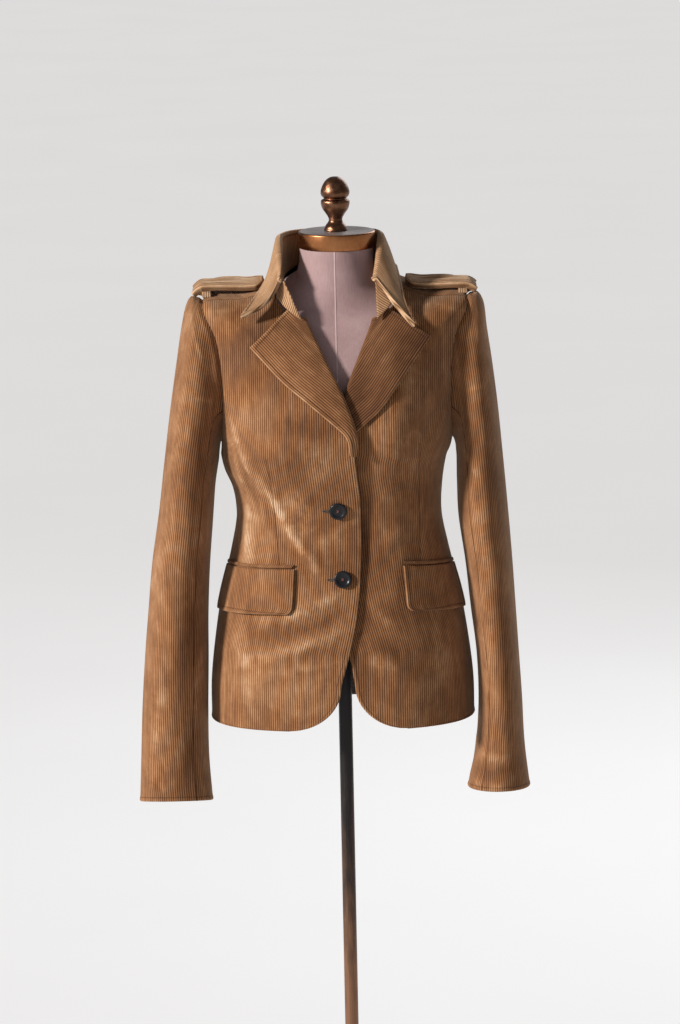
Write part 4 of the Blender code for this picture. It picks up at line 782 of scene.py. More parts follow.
# ---- shoulder straps
def shoulder_height(x, y, side):
    """Height of the jacket's shoulder over a place in plan, level past the sleeve's seam."""
    u, level = find_on_body(CENTRE_X + side * np.minimum(x, STRAP_LEVEL_X), y, 1, side, 1.1, 11.6)
    return body_point(u, level, side)[..., 2]


def strap_lift(x, side):
    """A strap arches over its keeper and turns down past it, onto the sleeve's head."""
    held = STRAP_LIFT_RIGHT if side == RIGHT else STRAP_LIFT_LEFT
    arch = STRAP_END_LIFT + (1 - STRAP_END_LIFT) * smooth(x, STRAP_INNER_X, STRAP_LIFT_X)
    turn = np.clip((x - STRAP_BEND_X) / (STRAP_OUTER_X - STRAP_BEND_X), 0.0, 1.5) ** 2
    return held * arch - (held + STRAP_BEND) * turn


def strap_place(side):
    def shape(s, t):
        x = STRAP_INNER_X + (STRAP_OUTER_X - STRAP_INNER_X) * s
        taper = np.clip((x - STRAP_INNER_X) / STRAP_POINT, 0.0, 1.0)
        round_end = taper * (2 - taper)
        half = STRAP_HALF_WIDTH * (STRAP_POINT_WIDTH + (1 - STRAP_POINT_WIDTH) * round_end)
        y = STRAP_MIDDLE_Y + half * (2 * t - 1)
        ground = shoulder_height(x, y, side)
        crown = STRAP_CROWN * (1 - (2 * t - 1) ** 2)
        z = ground + SEAM + strap_lift(x, side) + STRAP_THICK + crown
        return np.stack((CENTRE_X + side * x, y, z), axis=-1)
    return with_normals(shape, side)


def keeper_thickness(side):
    """The keeper is a folded band that fills the room below its strap."""
    return (STRAP_LIFT_RIGHT if side == RIGHT else STRAP_LIFT_LEFT) + KEEPER_SINK - KEEPER_CLEAR


def keeper_place(side):
    def shape(s, t):
        x = KEEPER_X + KEEPER_WIDTH * (s - 0.5)
        y = KEEPER_FRONT_Y + (KEEPER_BACK_Y - KEEPER_FRONT_Y) * t
        z = shoulder_height(x, y, side) + SEAM + strap_lift(x, side) - KEEPER_CLEAR
        return np.stack((CENTRE_X + side * x, y, z), axis=-1)
    return with_normals(shape, side)


# ---- dress form
def form_point(u, level, side):
    """The form's torso follows the body surface at some ease below the cloth."""
    ease = curve_at(FORM_EASE, level)[..., 0]
    rest = smooth(level, 9.6, 11.0) * np.exp(-((u - 1.0) / 0.35) ** 2)
    depth = CLOTH + FORM_CLEAR + ease * (1 - rest)
    return body_point(u, level, side) - depth[..., None] * body_normal(u, level, side)


def form_rings(segments):
    """Rings of the form from its flat underside up to the neck, as lists of points."""
    turn = np.arange(segments) / segments * 4.0
    side = np.where(turn < 2, LEFT, RIGHT)
    u = np.where(turn < 2, turn, 4 - turn)

    def ring_at(level):
        level = np.full(segments, float(level))
        left, right = form_point(u, level, LEFT), form_point(u, level, RIGHT)
        return np.where((side == LEFT)[:, None], left, right)

    lowest = ring_at(FORM_BOTTOM_LEVEL)
    centre = np.array((0.0, 0.0, 0.0))
    rings = []
    for scale, drop in FORM_UNDERSIDE:
        ring = centre + (lowest - centre) * np.array((scale, scale, 1.0))
        ring[:, 2] = ring[:, 2].min() - drop if scale < 0.9 else ring[:, 2] - drop
        rings.append(ring)
    rings[1][:, 2] = rings[0][:, 2]
    rings += [ring_at(level) for level in np.linspace(FORM_BOTTOM_LEVEL, 12.9, 17)]
    angle = turn * np.pi / 2
    for side_z, front_z, back_z, radius in FORM_NECK_ROWS:
        lean = np.where(np.cos(angle) > 0, front_z - side_z, side_z - back_z)
        z = side_z + lean * np.cos(angle)
        rings.append(np.stack((radius * np.sin(angle), -radius * np.cos(angle), z), axis=-1))
    for z in (1.409, CAP_BOTTOM_Z - SEAM):
        level = np.full(segments, z)
        rings.append(np.stack((FORM_NECK_RADIUS * np.sin(angle),
                               -FORM_NECK_RADIUS * np.cos(angle), level), axis=-1))
    return rings


# ---- dressed pieces
def run_lengths(points, axis):
    """Length along the grid's lines from their first point, in metres."""
    steps = np.linalg.norm(np.diff(points, axis=axis), axis=-1)
    zero = np.zeros_like(np.take(steps, [0], axis=axis))
    return np.concatenate((zero, np.cumsum(steps, axis=axis)), axis=axis)


def spread(length, spacing, low=0.0, high=1.0):
    """Even places from low to high, with closer ones at both ends for the edge's roll."""
    count = max(int(round(length / spacing)), 3)
    middle = np.linspace(EDGE_AT[-1], length - EDGE_AT[-1], count)
    near = np.array(EDGE_AT[:-1])
    return low + (high - low) * np.concatenate((near, middle, length - near[::-1])) / length


def grid(sizes):
    """Columns and rows of a piece, from the length and spacing of each."""
    return [spread(*size) for size in sizes]


def denser(places, spacing):
    """Places between the given ones, so that none are further apart than the spacing."""
    out = [places[0]]
    for first, second in zip(places, places[1:]):
        count = max(int(np.ceil(abs(second - first) / spacing)), 1)
        out += list(first + (second - first) * np.arange(1, count + 1) / count)
    return np.array(out)


def add_piece(name, verts, faces, sharp=False):
    """A smooth mesh in the scene, sharp at its steep edges if asked."""
    mesh = bpy.data.meshes.new(name)
    mesh.from_pydata(np.asarray(verts).tolist(), [], faces)
    mesh.shade_smooth()
    if sharp:
        mesh.set_sharp_from_angle(angle=np.radians(50))
    piece = bpy.data.objects.new(name, mesh)
    bpy.context.scene.collection.objects.link(piece)
    return piece


def dress(piece, node, materials):
    """Materials for a piece, the body that it rides on and the node that it replaces, if any."""
    for material in materials:
        piece.data.materials.append(material)
    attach(piece, "root")
    if node:
        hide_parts(node)


def store(mesh, values):
    """Keeps named values on the points of both layers of a shell."""
    for key, value in values.items():
        attribute = mesh.attributes.new(key, "FLOAT", "POINT")
        attribute.data.foreach_set("value", np.tile(np.ravel(value), 2).astype(np.float32))


def store_grain(mesh, w, v):
    """Keeps the cloth's own flat places, across and along the wales, as the UV map."""
    flat = np.tile(np.stack((w.ravel(), v.ravel()), -1), (2, 1))
    uv = mesh.uv_layers.new(name="grain")
    corners = np.empty(len(mesh.loops), np.int32)
    mesh.loops.foreach_get("vertex_index", corners)
    uv.data.foreach_set("uv", flat[corners].astype(np.float32).ravel())


def shell(name, places, place, thick, finished, grain, creases=(), extra=None, bulk=EDGE_BULK,
          tuck=0.0, rope=0.0):
    """A thin shell on the surface that place() gives for its columns and rows, with rolled edges.

    finished names the edges that are turned in and sewn, as l, r, b and t for the low and high
    column and row. grain() gives the place across and along the wales. tuck slips the first row
    below its neighbour, and rope is the roll of a sleeve's head next to it.
    """
    s, t = np.meshgrid(*places)
    points, normals = place(s, t)
    height, painted_light = crease_field(points, creases)
    points = points + height[..., None] * normals
    across, along = run_lengths(points, 1), run_lengths(points, 0)
    reach = {"l": across, "r": across[:, -1:] - across, "b": along, "t": along[-1:] - along}
    every = np.minimum.reduce(list(reach.values()))
    far = every * 0 + FAR
    sewn = np.minimum.reduce([reach[edge] for edge in finished] + [far])
    sides = np.minimum.reduce([reach[edge] for edge in finished if edge in "lr"] + [far])
    at_seam = sewn > every + STEP
    roll = np.where(at_seam, SEAM_ROLL, EDGE_ROLL)
    bend = np.clip((roll - every) / roll, 0, 1)
    puff = bulk * np.exp(-((sewn - BULK_IN) / BULK_SPREAD) ** 2)
    drop = (thick / 2 + puff) * (1 - np.sqrt(1 - bend**2)) - puff
    valley = SEAM_DEPTH * np.exp(-(every / SEAM_SPREAD) ** 2) * at_seam
    slip = tuck * np.exp(-(along / TUCK_SPREAD) ** 2)[..., None] * np.array((1.0, 0.0, 0.0))
    head = rope * np.exp(-((along - ROPE_IN) / ROPE_SPREAD) ** 2)
    points = points - slip + head[..., None] * normals
    outer = points - (drop + valley)[..., None] * normals
    inner = points - (thick - drop + valley)[..., None] * normals
    index = np.arange(s.size).reshape(s.shape)
    corners = (index[:-1, :-1], index[:-1, 1:], index[1:, 1:], index[1:, :-1])
    quads = np.stack(corners, -1).reshape(-1, 4)
    rim = np.concatenate((index[0, :-1], index[:-1, -1], index[-1, :0:-1], index[:0:-1, 0]))
    ahead = np.roll(rim, -1)
    edge_quads = np.stack((rim, rim + s.size, ahead + s.size, ahead), -1)
    faces = np.concatenate((quads, quads[:, ::-1] + s.size, edge_quads))
    turn = np.cross(points[0, 1] - points[0, 0], points[1, 0] - points[0, 0])
    if turn @ normals[0, 0] < 0:
        faces = faces[:, ::-1]
    verts = np.concatenate((outer.reshape(-1, 3), inner.reshape(-1, 3)))
    piece = add_piece(name, verts, faces.tolist())
    dart, intake = extra(points) if extra else (far, painted_light * 0)
    # The creases' painted light and shade is kept on the points with the other values.
    store(piece.data, {"edge_d": sewn, "edge_l": np.where(sides <= sewn, along, across),
                       "seam_d": every, "painted_light": painted_light, "dart": dart, "intake": intake})
    store_grain(piece.data, *grain(s, t, points, across, along))
    layer = np.zeros(len(faces), np.int32)
    layer[len(quads):2 * len(quads)] = 1
    piece.data.polygons.foreach_set("material_index", layer)
    return piece


def sew(node, place, places, grain, finished, materials, held, rests, thick=SHEET, **more):
    """A sheet of cloth in place of a node, resting on others."""
    piece = shell("visual_" + node, places, place, thick, finished, grain, **more)
    dress(piece, node, materials)
    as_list(rests)


# ---- creases
def crease_field(points, rows):
    """Height and painted light and shade that the creases give at the points, from their curves in
    x and z.
    """
    x, z = points[..., 0] - CENTRE_X, points[..., 2]
    height, painted_light = np.zeros(x.shape), np.zeros(x.shape)
    for x0, z0, x1, z1, x2, z2, width, size, light in rows:
        best, part = np.full(x.shape, FAR), np.zeros(x.shape)
        for f in np.linspace(0, 1, CREASE_STEPS):
            bx, bz = 2 * x1 - (x0 + x2) / 2, 2 * z1 - (z0 + z2) / 2
            cx = (1 - f) ** 2 * x0 + 2 * f * (1 - f) * bx + f**2 * x2
            cz = (1 - f) ** 2 * z0 + 2 * f * (1 - f) * bz + f**2 * z2
            gap = np.hypot(x - cx, z - cz)
            part = np.where(gap < best, f, part)
            best = np.minimum(best, gap)
        taper = np.sin(np.pi * (0.1 + 0.8 * part))
        height += CREASE_RELIEF * size * taper * np.exp(-(best / (CREASE_SPREAD * width)) ** 2)
        # Painted highlight along a crease with lightness above 0, painted shade along one below 0.
        painted_light += light * taper * np.exp(-(best / (PAINTED_LIGHT_SPREAD * width)) ** 2)
    return height, painted_light


def rumpled(place, rows):
    """A place() with ridges and troughs along its rows, from their ends in s and t."""
    def shape(s, t):
        points, normals = place(s, t)
        for s0, t0, s1, t1, width, size in rows:
            part = (s - s0) / (s1 - s0)
            run = np.sin(np.pi * np.clip(part, 0, 1))
            height = size * run * np.exp(-((t - t0 - (t1 - t0) * part) / width) ** 2)
            points = points + height[..., None] * normals
        return points, normals
    return shape


# ---- grain
def grain_from(edge):
    """Wales that run along the rows' direction, counted from an edge or the middle column."""
    def grain(s, t, points, across, along):
        column = {"near": 0, "middle": across.shape[1] // 2, "far": -1}[edge]
        return across - across[:, column][:, None], along
    return grain


def grain_upright(start, least=0.0):
    """Upright wales: counted by the level part of each row's length, and straight up the chest.

    least is the least wale cloth up there for a step round the body.
    """
    def grain(s, t, points, across, along):
        level = run_lengths(points * np.array((1.0, 1.0, 0.0)), 1)
        count = start(points) + level
        out = (points[..., 0] - CENTRE_X) * np.sign(points[0, -1, 0] - CENTRE_X)
        base = int(np.searchsorted(t[:, 0], UPRIGHT_ABOVE[0]))
        steps = UPRIGHT_SLOPE * np.maximum(np.diff(out[base]), 0)
        steps = np.clip(np.diff(count[base]), 0, steps)
        kept = count[base, 0] + np.concatenate(([0.0], np.cumsum(steps)))
        beyond = np.maximum(out - out[base].max(), 0) + np.minimum(out - out[base, 0], 0)
        straight = np.interp(out, np.maximum.accumulate(out[base]), kept) + beyond
        if least:
            steps = np.maximum(np.diff(straight, axis=1), least * np.diff(level, axis=1))
            straight[:, 1:] = straight[:, :1] + np.cumsum(steps, 1)
        part = smooth(t, *UPRIGHT_ABOVE)
        return count * (1 - part) + straight * part, along
    return grain


def grain_sleeve(s, t, points, across, along):
    """Straight wales down the sleeve, counted by the level arc from its outermost line.

    Above the armhole's foot they go on straight up. There the count is the foot's own, found by y
    on the outer side and by the depth inward of the outermost line on the front and back.
    """
    heights = np.linspace(points[..., 2].min(), points[..., 2].max(), SLEEVE_LEVELS)
    rising = np.maximum.accumulate(points[::-1, :, 2], axis=0)
    rings = np.empty((SLEEVE_LEVELS, s.shape[1], 2))
    for column, axis in np.ndindex(s.shape[1], 2):
        rings[:, column, axis] = np.interp(heights, rising[:, column], points[::-1, column, axis])
    centre = int(np.abs(s[0]).argmin())
    arcs = run_lengths(rings, 1)
    arcs -= arcs[:, [centre]]
    count = np.empty(s.shape)
    for column in range(s.shape[1]):
        count[:, column] = np.interp(rising[::-1, column], heights, arcs[:, column])
    out, z = np.sign(points[0, centre, 0] - CENTRE_X), points[..., 2]
    foot = int(np.searchsorted(heights, points[0, :, 2].min() - HEAD_FOOT))
    line = rings[foot, centre]
    line_x, line_y = (np.interp(z, rising[:, centre], values)
                      for values in points[::-1, centre, :2].T)
    deep, wide = out * (line_x - points[..., 0]), np.abs(points[..., 1] - line_y)
    for part in (slice(centre, None), slice(centre, None, -1)):
        ring_deep = np.maximum.accumulate(out * (line[0] - rings[foot, part, 0]))
        ring_wide = np.maximum.accumulate(np.abs(rings[foot, part, 1] - line[1]))
        beyond = np.maximum(deep[:, part] - ring_deep[-1], 0) * np.sign(arcs[foot, part][-1])
        by_deep = np.interp(deep[:, part], ring_deep, arcs[foot, part]) + beyond
        by_wide = np.interp(wide[:, part], ring_wide, arcs[foot, part])
        turned = smooth(deep[:, part], *HEAD_TURN)
        head = by_wide * (1 - turned) + by_deep * turned
        above = smooth(z[:, part], heights[foot] - HEAD_BLEND, heights[foot])
        count[:, part] = count[:, part] * (1 - above) + head * above
    return count, along


def grain_collar(s, t, points, across, along):
    """Wales across the fall at the back, turning to run along its front ends."""
    middle = across[:, across.shape[1] // 2][:, None]
    counted = across - middle
    half = across[:, -1:] / 2
    ends = np.sign(counted) * (half.mean() - half + np.abs(counted))
    turned = smooth(np.abs(s), *COLLAR_TURN)
    return counted * (1 - turned) + ends * turned, along


def grain_turned(s, t, points, across, along):
    """Wales that run along the columns' direction."""
    return along, across


def from_front_edge(side):
    """The front is cut with its straight edge along the wales."""
    def start(points):
        straight = front_edge(np.clip(points[:, :1, 2], FRONT_EDGES[1][0], BREAK_Z), side)
        return side * (points[:, :1, 0] - CENTRE_X) - straight
    return start


def from_centre_back(points):
    return np.zeros((len(points), 1))


def dart_values(side):
    """Signed distance to the dart's seam, and the cloth that the dart takes in beyond it."""
    rows = DART_RIGHT if side == RIGHT else DART_LEFT

    def extra(points):
        x, z = side * (points[..., 0] - CENTRE_X), points[..., 2]
        line = curve_at(rows, z)
        near = (z > rows[0][0]) & (z < rows[-1][0])
        return x - line[..., 0], np.where(near, line[..., 1], 0.0)
    return extra


# ---- materials
class Value:
    """A value in a material's node tree, which is reckoned with like a number."""

    def __init__(self, tree, socket):
        self.tree, self.socket = tree, socket

    def math(self, operation, *others, **settings):
        node = self.tree.put("ShaderNodeMath", operation=operation, **settings)
        for socket, value in zip(node.inputs, (self, *others)):
            self.tree.link(value, socket)
        return Value(self.tree, node.outputs[0])

    def __add__(self, other):
        return self.math("ADD", other)

    def __sub__(self, other):
        return self.math("SUBTRACT", other)

    def __mul__(self, other):
        return self.math("MULTIPLY", other)

    def __truediv__(self, other):
        return self.math("DIVIDE", other)

    def __pow__(self, other):
        return self.math("POWER", other)

    def __gt__(self, other):
        return self.math("GREATER_THAN", other)

    def __abs__(self):
        return self.math("ABSOLUTE")

    def sine(self, length):
        """A wave of this length along the value."""
        return (self * (2 * np.pi / length)).math("SINE")

    def bell(self, width, centre=0.0):
        """1 where the value is at the centre, falling off with the width."""
        away = (self - centre) / width
        return (away * away * -1.0).math("EXPONENT")


class Tree:
    """Short calls for a material's nodes."""

    def __init__(self, name):
        self.material = bpy.data.materials.new(name)
        self.material.use_nodes = True
        self.nodes = self.material.node_tree.nodes
        self.shader = self.nodes["Principled BSDF"]
        self.place = self.put("ShaderNodeTexCoord").outputs["Object"]

    def put(self, kind, inputs=(), **settings):
        node = self.nodes.new(kind)
        for key, value in settings.items():
            setattr(node, key, value)
        for key, value in dict(inputs).items():
            self.link(value, node.inputs[key])
        return node

    def link(self, value, socket):
        value = value.socket if isinstance(value, Value) else value
        if isinstance(value, bpy.types.NodeSocket):
            self.material.node_tree.links.new(value, socket)
        else:
            socket.default_value = value

    def value(self, name):
        return Value(self, self.put("ShaderNodeAttribute", attribute_name=name).outputs["Fac"])

    def noise(self, scale, detail=2.0, rough=0.5, vector=None):
        """Noise round 0, at the object's own places if no others are given."""
        vector = self.place if vector is None else vector
        node = self.put("ShaderNodeTexNoise", {"Vector": vector, "Scale": scale, "Detail": detail,
                                               "Roughness": rough})
        return Value(self, node.outputs["Fac"]) - 0.5

    def vector(self, x, y, z=0.0):
        return self.put("ShaderNodeCombineXYZ", {"X": x, "Y": y, "Z": z}).outputs[0]

    def split(self, vector):
        node = self.put("ShaderNodeSeparateXYZ", {"Vector": vector})
        return [Value(self, socket) for socket in node.outputs]

    def ramp(self, value, stops):
        node = self.put("ShaderNodeValToRGB", {"Fac": value})
        ramp = node.color_ramp
        ramp.interpolation = "B_SPLINE" if len(stops) > 2 else "LINEAR"
        while len(ramp.elements) < len(stops):
            ramp.elements.new(0.5)
        for element, (place, color) in zip(ramp.elements, stops):
            element.position = place
            element.color = (*color, 1.0)
        return node.outputs["Color"]

    def shaded(self, color, *shades):
        """The color times a shade, or times one shade each for red, green and blue."""
        node = self.put("ShaderNodeMix", data_type="RGBA", blend_type="MULTIPLY")
        shades = shades if len(shades) > 1 else shades * 3
        for socket, value in zip((node.inputs[0], node.inputs[6], node.inputs[7]),
                                 (1.0, color, self.vector(*shades))):
            self.link(value, socket)
        return node.outputs[2]

    def finish(self, color, height=None, **sockets):
        self.link(color, self.shader.inputs["Base Color"])
        if height is not None:
            bump = self.put("ShaderNodeBump", {"Strength": 1.0, "Distance": 1.0, "Height": height})
            self.link(bump.outputs[0], self.shader.inputs["Normal"])
        for key, value in sockets.items():
            self.link(value, self.shader.inputs[key.replace("_", " ")])
        return self.material


def corduroy(name, stops, sheen):
    """Ribbed pile: wales along the grain, grooves darkened as painted shade, painted light and
    shade of the creases, worn edges and sewn lines.
    """
    tree = Tree(name)
    w, v, _ = tree.split(tree.put("ShaderNodeUVMap", uv_map="grain").outputs[0])
    dart, intake = tree.value("dart"), tree.value("intake")
    w = w + (dart > 0.0) * intake
    w = w + tree.noise(28.0, vector=tree.vector(w, v)) * WALE_WANDER
    ridge = abs(w.sine(2 * WALE_PITCH)) ** RIDGE_POWER
    number = (w / WALE_PITCH).math("FLOOR")
    pile = tree.noise(2200.0, 3.0, vector=tree.vector(w, v * 0.4))
    streak = tree.noise(1.0, 3.0, 0.6, tree.vector(number * 0.37, v * 26.0))
    patch, rub = tree.noise(11.0, 3.0, 0.55), tree.noise(46.0, 3.0, 0.6)
    edge, seam = tree.value("edge_d"), tree.value("seam_d")
    light = patch * PATCH_SHARE + LIGHT_BASE + rub * RUB_SHARE + streak * STREAK_SHARE
    # Painted light and shade of the creases, broken up by the rub noise.
    light = light + pile * PILE_SHARE + tree.value("painted_light") * (rub * 1.3 + 0.36)
    light = light + edge.bell(WORN_WIDTH) * (rub * 0.7 + 0.26)
    stitch = edge.bell(STITCH_WIDTH, STITCH_IN)
    dash = tree.value("edge_l").sine(STITCH_LENGTH) > -0.35
    hem = abs(dart).bell(HEM_WIDTH) * (intake > STEP)
    # Grooves between the wales are darkened and reddened as painted shade; the sewn lines are
    # darker too.
    shade = ridge * (1.0 - GROOVE_SHADE) + GROOVE_SHADE
    shade = shade * ((stitch * -0.38 + 1.0) * (hem * -0.45 + 1.0)
                     * (seam.bell(SEAM_WIDTH) * -0.22 + 1.0))
    color = tree.shaded(tree.ramp(light, stops), shade, *(shade**power for power in GROOVE_SHADE_TINT))
    height = ridge * WALE_HEIGHT + pile * PILE_HEIGHT + stitch * -STITCH_DEPTH
    height = height + stitch * dash * (STITCH_DEPTH * 0.6) + hem * -STITCH_DEPTH
    return tree.finish(color, height, Roughness=0.86, Sheen_Weight=sheen, Sheen_Roughness=0.42,
                       Sheen_Tint=(1.0, 0.8, 0.58, 1.0), Specular_IOR_Level=0.22)


def lining(name, color):
    """Dark lining cloth with a fine twill, near black so that it also stands in as painted shade
    inside the jacket.
    """
    tree = Tree(name)
    x, _, z = tree.split(tree.place)
    twill = ((x + z) * 5200.0).math("SINE")
    color = tree.shaded((*color, 1.0), tree.noise(30.0, 3.0) * 0.8 + 1.0)
    return tree.finish(color, twill * 0.00004, Roughness=0.55, Sheen_Weight=0.1)


def linen(name):
    """Tight dusty-pink cloth over the form, with its joined centre seam."""
    tree = Tree(name)
    x, y, z = tree.split(tree.place)
    weave = x.sine(LINEN_PITCH) * z.sine(LINEN_PITCH)
    patch = tree.noise(24.0, 4.0)
    slub = tree.noise(520.0, vector=tree.vector(x, y, z * 0.12))
    seam = abs(x - FORM_SEAM_X).bell(0.0009)
    color = tree.ramp(patch * 0.55 + 0.5 + slub * 0.22 + seam * 0.38, LINEN_STOPS)
    height = weave * 0.00005 + slub * 0.00012 + seam * 0.0005
    return tree.finish(color, height, Roughness=0.82, Sheen_Weight=0.35, Sheen_Roughness=0.5,
                       Sheen_Tint=(1.0, 0.85, 0.84, 1.0))


def metal(name, stops, rough, scale, depth=0.0, metallic=1.0):
    """Metal with worn patches and a brushed or pitted surface."""
    tree = Tree(name)
    patch, fine = tree.noise(scale, 5.0, 0.6), tree.noise(scale * 14, 3.0)
    color = tree.ramp(patch + fine * 0.3 + 0.5, stops)
    gloss = patch.math("MULTIPLY_ADD", 0.35, rough, use_clamp=True)
    return tree.finish(color, fine * 0.00008 + patch * depth, Roughness=gloss, Metallic=metallic)


def painted_pole(name):
    """Blackened steel that is rusty brown further down."""
    tree = Tree(name)
    x, y, z = tree.split(tree.place)
    patch = tree.noise(26.0, 5.0, 0.65, tree.vector(x * 3.0, y * 3.0, z * 0.5))
    color = tree.ramp(patch * 1.5 + 0.45 - (z * 2.4 - 1.35), POLE_STOPS)
    height = tree.noise(700.0, 3.0) * 0.00006 + patch * 0.0002
    return tree.finish(color, height, Roughness=0.42, Metallic=0.75)


def gloss_horn(name):
    """Polished black button with faint swirls."""
    tree = Tree(name)
    swirl = tree.noise(160.0, 4.0, 0.7)
    return tree.finish(tree.ramp(swirl + 0.5, HORN_STOPS), swirl * 0.00003, Roughness=0.3,
                       Specular_IOR_Level=0.25)


def thread(name, color):
    """Twisted thread."""
    tree = Tree(name)
    twist = tree.noise(2600.0, 2.0)
    return tree.finish(tree.shaded((*color, 1.0), twist * 0.9 + 1.0), twist * 0.0001,
                       Roughness=0.7, Sheen_Weight=0.2)


def matte_floor(name):
    tree = Tree(name)
    return tree.finish(tree.ramp(tree.noise(1.3, 3.0) + 0.5, FLOOR_STOPS), Roughness=0.9)


# ---- small joined meshes
def tube_points(path, radius, sides=8):
    """Rings of a tube along a path of points, with its first normal up."""
    path = np.asarray(path, float)
    ahead = unit(np.gradient(path, axis=0))
    up = np.array(TUBE_UP)
    right = unit(np.cross(ahead, up))
    over = np.cross(right, ahead)
    angle = np.arange(sides) / sides * 2 * np.pi
    return (path[:, None] + radius * (np.cos(angle)[None, :, None] * right[:, None]
                                      + np.sin(angle)[None, :, None] * over[:, None]))


def ring_faces(rows, count, first=0, loop=False):
    """Quads round the rings of a grid of points."""
    faces = []
    for i in range(rows if loop else rows - 1):
        low, high = first + i * count, first + (i + 1) % rows * count
        for k in range(count):
            m = (k + 1) % count
            faces.append([low + k, low + m, high + m, high + k])
    return faces


def ring_ends(rows, count, first=0):
    """Faces that close the first and the last ring."""
    last = first + (rows - 1) * count
    return [list(range(first, first + count))[::-1], list(range(last, last + count))]


def add_tubes(name, paths, radius, closed=False, sides=8):
    """One mesh of several tubes."""
    verts, faces = [], []
    for path in paths:
        rings, base = tube_points(path, radius, sides), sides * sum(map(len, verts))
        verts.append(rings)
        faces += ring_faces(len(rings), sides, base, closed)
        faces += [] if closed else ring_ends(len(rings), sides, base)
    return add_piece(name, np.concatenate(verts).reshape(-1, 3), faces)


def lathe(name, profile, segments, place, tilt=np.eye(3)):
    """A turned piece with a smooth profile, from its axis at the top to its axis below."""
    profile = np.asarray(profile, float)
    angle = np.arange(segments) / segments * 2 * np.pi
    inner = profile[1:-1]
    rings = np.stack((inner[:, :1] * np.cos(angle), inner[:, :1] * np.sin(angle),
                      np.repeat(inner[:, 1:], segments, 1)), -1)
    verts = np.concatenate((rings.reshape(-1, 3), [[0, 0, profile[0, 1]], [0, 0, profile[-1, 1]]]))
    faces = [[b, a, d, c] for a, b, c, d in ring_faces(len(inner), segments)]
    low = (len(inner) - 1) * segments
    for k in range(segments):
        m = (k + 1) % segments
        faces += [k, m, len(verts) - 2], [low + m, low + k, len(verts) - 1]
    return add_piece(name, verts @ np.array(tilt).T + np.array(place), faces, True)


def rounded(profile, steps=4):
    """A profile with more points on a smooth curve through its own."""
    profile = np.asarray(profile, float)
    keys = np.arange(len(profile))
    finer = np.linspace(0, keys[-1], keys[-1] * steps + 1)
    return curve_at(np.column_stack((keys, profile)), finer)


# ---- dressing the model
def button_frame(x, z):
    """Middle of a button on the front, and its axes: across, up and out."""
    u, level = on_front(-x, z, RIGHT)
    point, normal = body_point(u, level, RIGHT), body_normal(u, level, RIGHT)
    up = unit(np.array((0.0, 0.0, 1.0)) - normal[2] * normal)
    return point + BUTTON_LIFT * normal, np.stack((np.cross(up, normal), up, normal), -1)


def button_paths(sign_x, sign_y, top):
    """One stitch of sewing thread, from hole to hole over the button's middle."""
    for part, rise in ((-1, 0.0002), (0.1, 0.0006), (1, 0.0002)):
        yield part * sign_x * BUTTON_HOLE, part * sign_y * BUTTON_HOLE, top + rise


def build_buttons(horn, red, dark):
    """Four-hole buttons with sewing thread, and the buttonholes that they close."""
    for word, x, z in zip(("upper", "lower"), BUTTON_X, BUTTON_Z):
        place, axes = button_frame(x, z)
        profile = np.array(BUTTON_FINE) * (BUTTON_RADIUS, BUTTON_THICK)
        piece = lathe("visual_button_" + word, rounded(profile, 3), 64, place, axes)
        dress(piece, "button_" + word, (horn,))
        top = BUTTON_THICK * BUTTON_DISH
        paths = [np.array(list(button_paths(sign, lean, top))) @ axes.T + place
                 for sign in (-1, 1) for lean in (-1, 1)]
        sewn = add_tubes("visual_button_thread_" + word, paths, 0.00042, sides=6)
        dress(sewn, None, (red,))
        turn = 2 * np.pi * np.arange(BUTTONHOLE_POINTS) / BUTTONHOLE_POINTS
        wide = BUTTONHOLE_HALF * (1 + 0.5 * smooth(-np.cos(turn), 0.3, 0.9))
        out = BUTTONHOLE_SHIFT + BUTTONHOLE_LENGTH / 2 * (1 - np.cos(turn)) - x
        u, level = on_front(out, z - 0.0004 + wide * np.sin(turn), RIGHT)
        path = body_point(u, level, RIGHT) + 0.0003 * body_normal(u, level, RIGHT)
        hole = add_tubes("visual_buttonhole_" + word, [path], 0.00075, True)
        dress(hole, None, (dark,))


def build_form_visual(material):
    """The form's torso with fine rings."""
    rings = form_rings(FINE_SEGMENTS)
    size = len(rings), FINE_SEGMENTS
    piece = add_piece("visual_form", np.concatenate(rings), ring_faces(*size) + ring_ends(*size),
                      True)
    dress(piece, "form_torso", (material,))


def build_stand_visual():
    rim = CAP_TOP_Z - CAP_BOTTOM_Z
    turn = np.linspace(0, np.pi / 2, 7)
    wide, high = CAP_ROUND
    round_edge = zip(CAP_RADIUS - wide + wide * np.sin(turn), rim - high + high * np.cos(turn))
    wall = [(CAP_RADIUS - inset, z) for inset, z in
            ((0.0001, rim * 0.6), (0.0003, rim * 0.3), *CAP_FOOT)]
    cap = lathe("visual_neck_cap", [(0.0, rim), *round_edge, *wall, (0.0, 0.0)], 128,
                (CAP_X, 0, CAP_BOTTOM_Z))
    dress(cap, "neck_cap", (metal("bronze", BRONZE_STOPS, 0.3, 34.0),
                                      metal("bronze_painted_reflection", CAP_TOP_REFLECTION_STOPS, 0.4, 22.0)))
    # The cap's flat top gets the pale material, a painted reflection of bright surroundings.
    for face in cap.data.polygons:
        if face.normal.z > 0.95:
            face.material_index = 1
    finial = lathe("visual_finial", rounded(FINIAL_PROFILE), 96, (0, 0, CAP_TOP_Z + SEAM))
    dress(finial, "finial", (metal("bronze_dark", DARK_STOPS, 0.32, 120.0, 0.0006),))
    base = metal("base_paint", BASE_STOPS, 0.5, 60.0, 0.0004, 0.3)
    for node, material in (("pole", painted_pole("pole_worn")), ("base", base)):
        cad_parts[node].material_slots[0].material = material


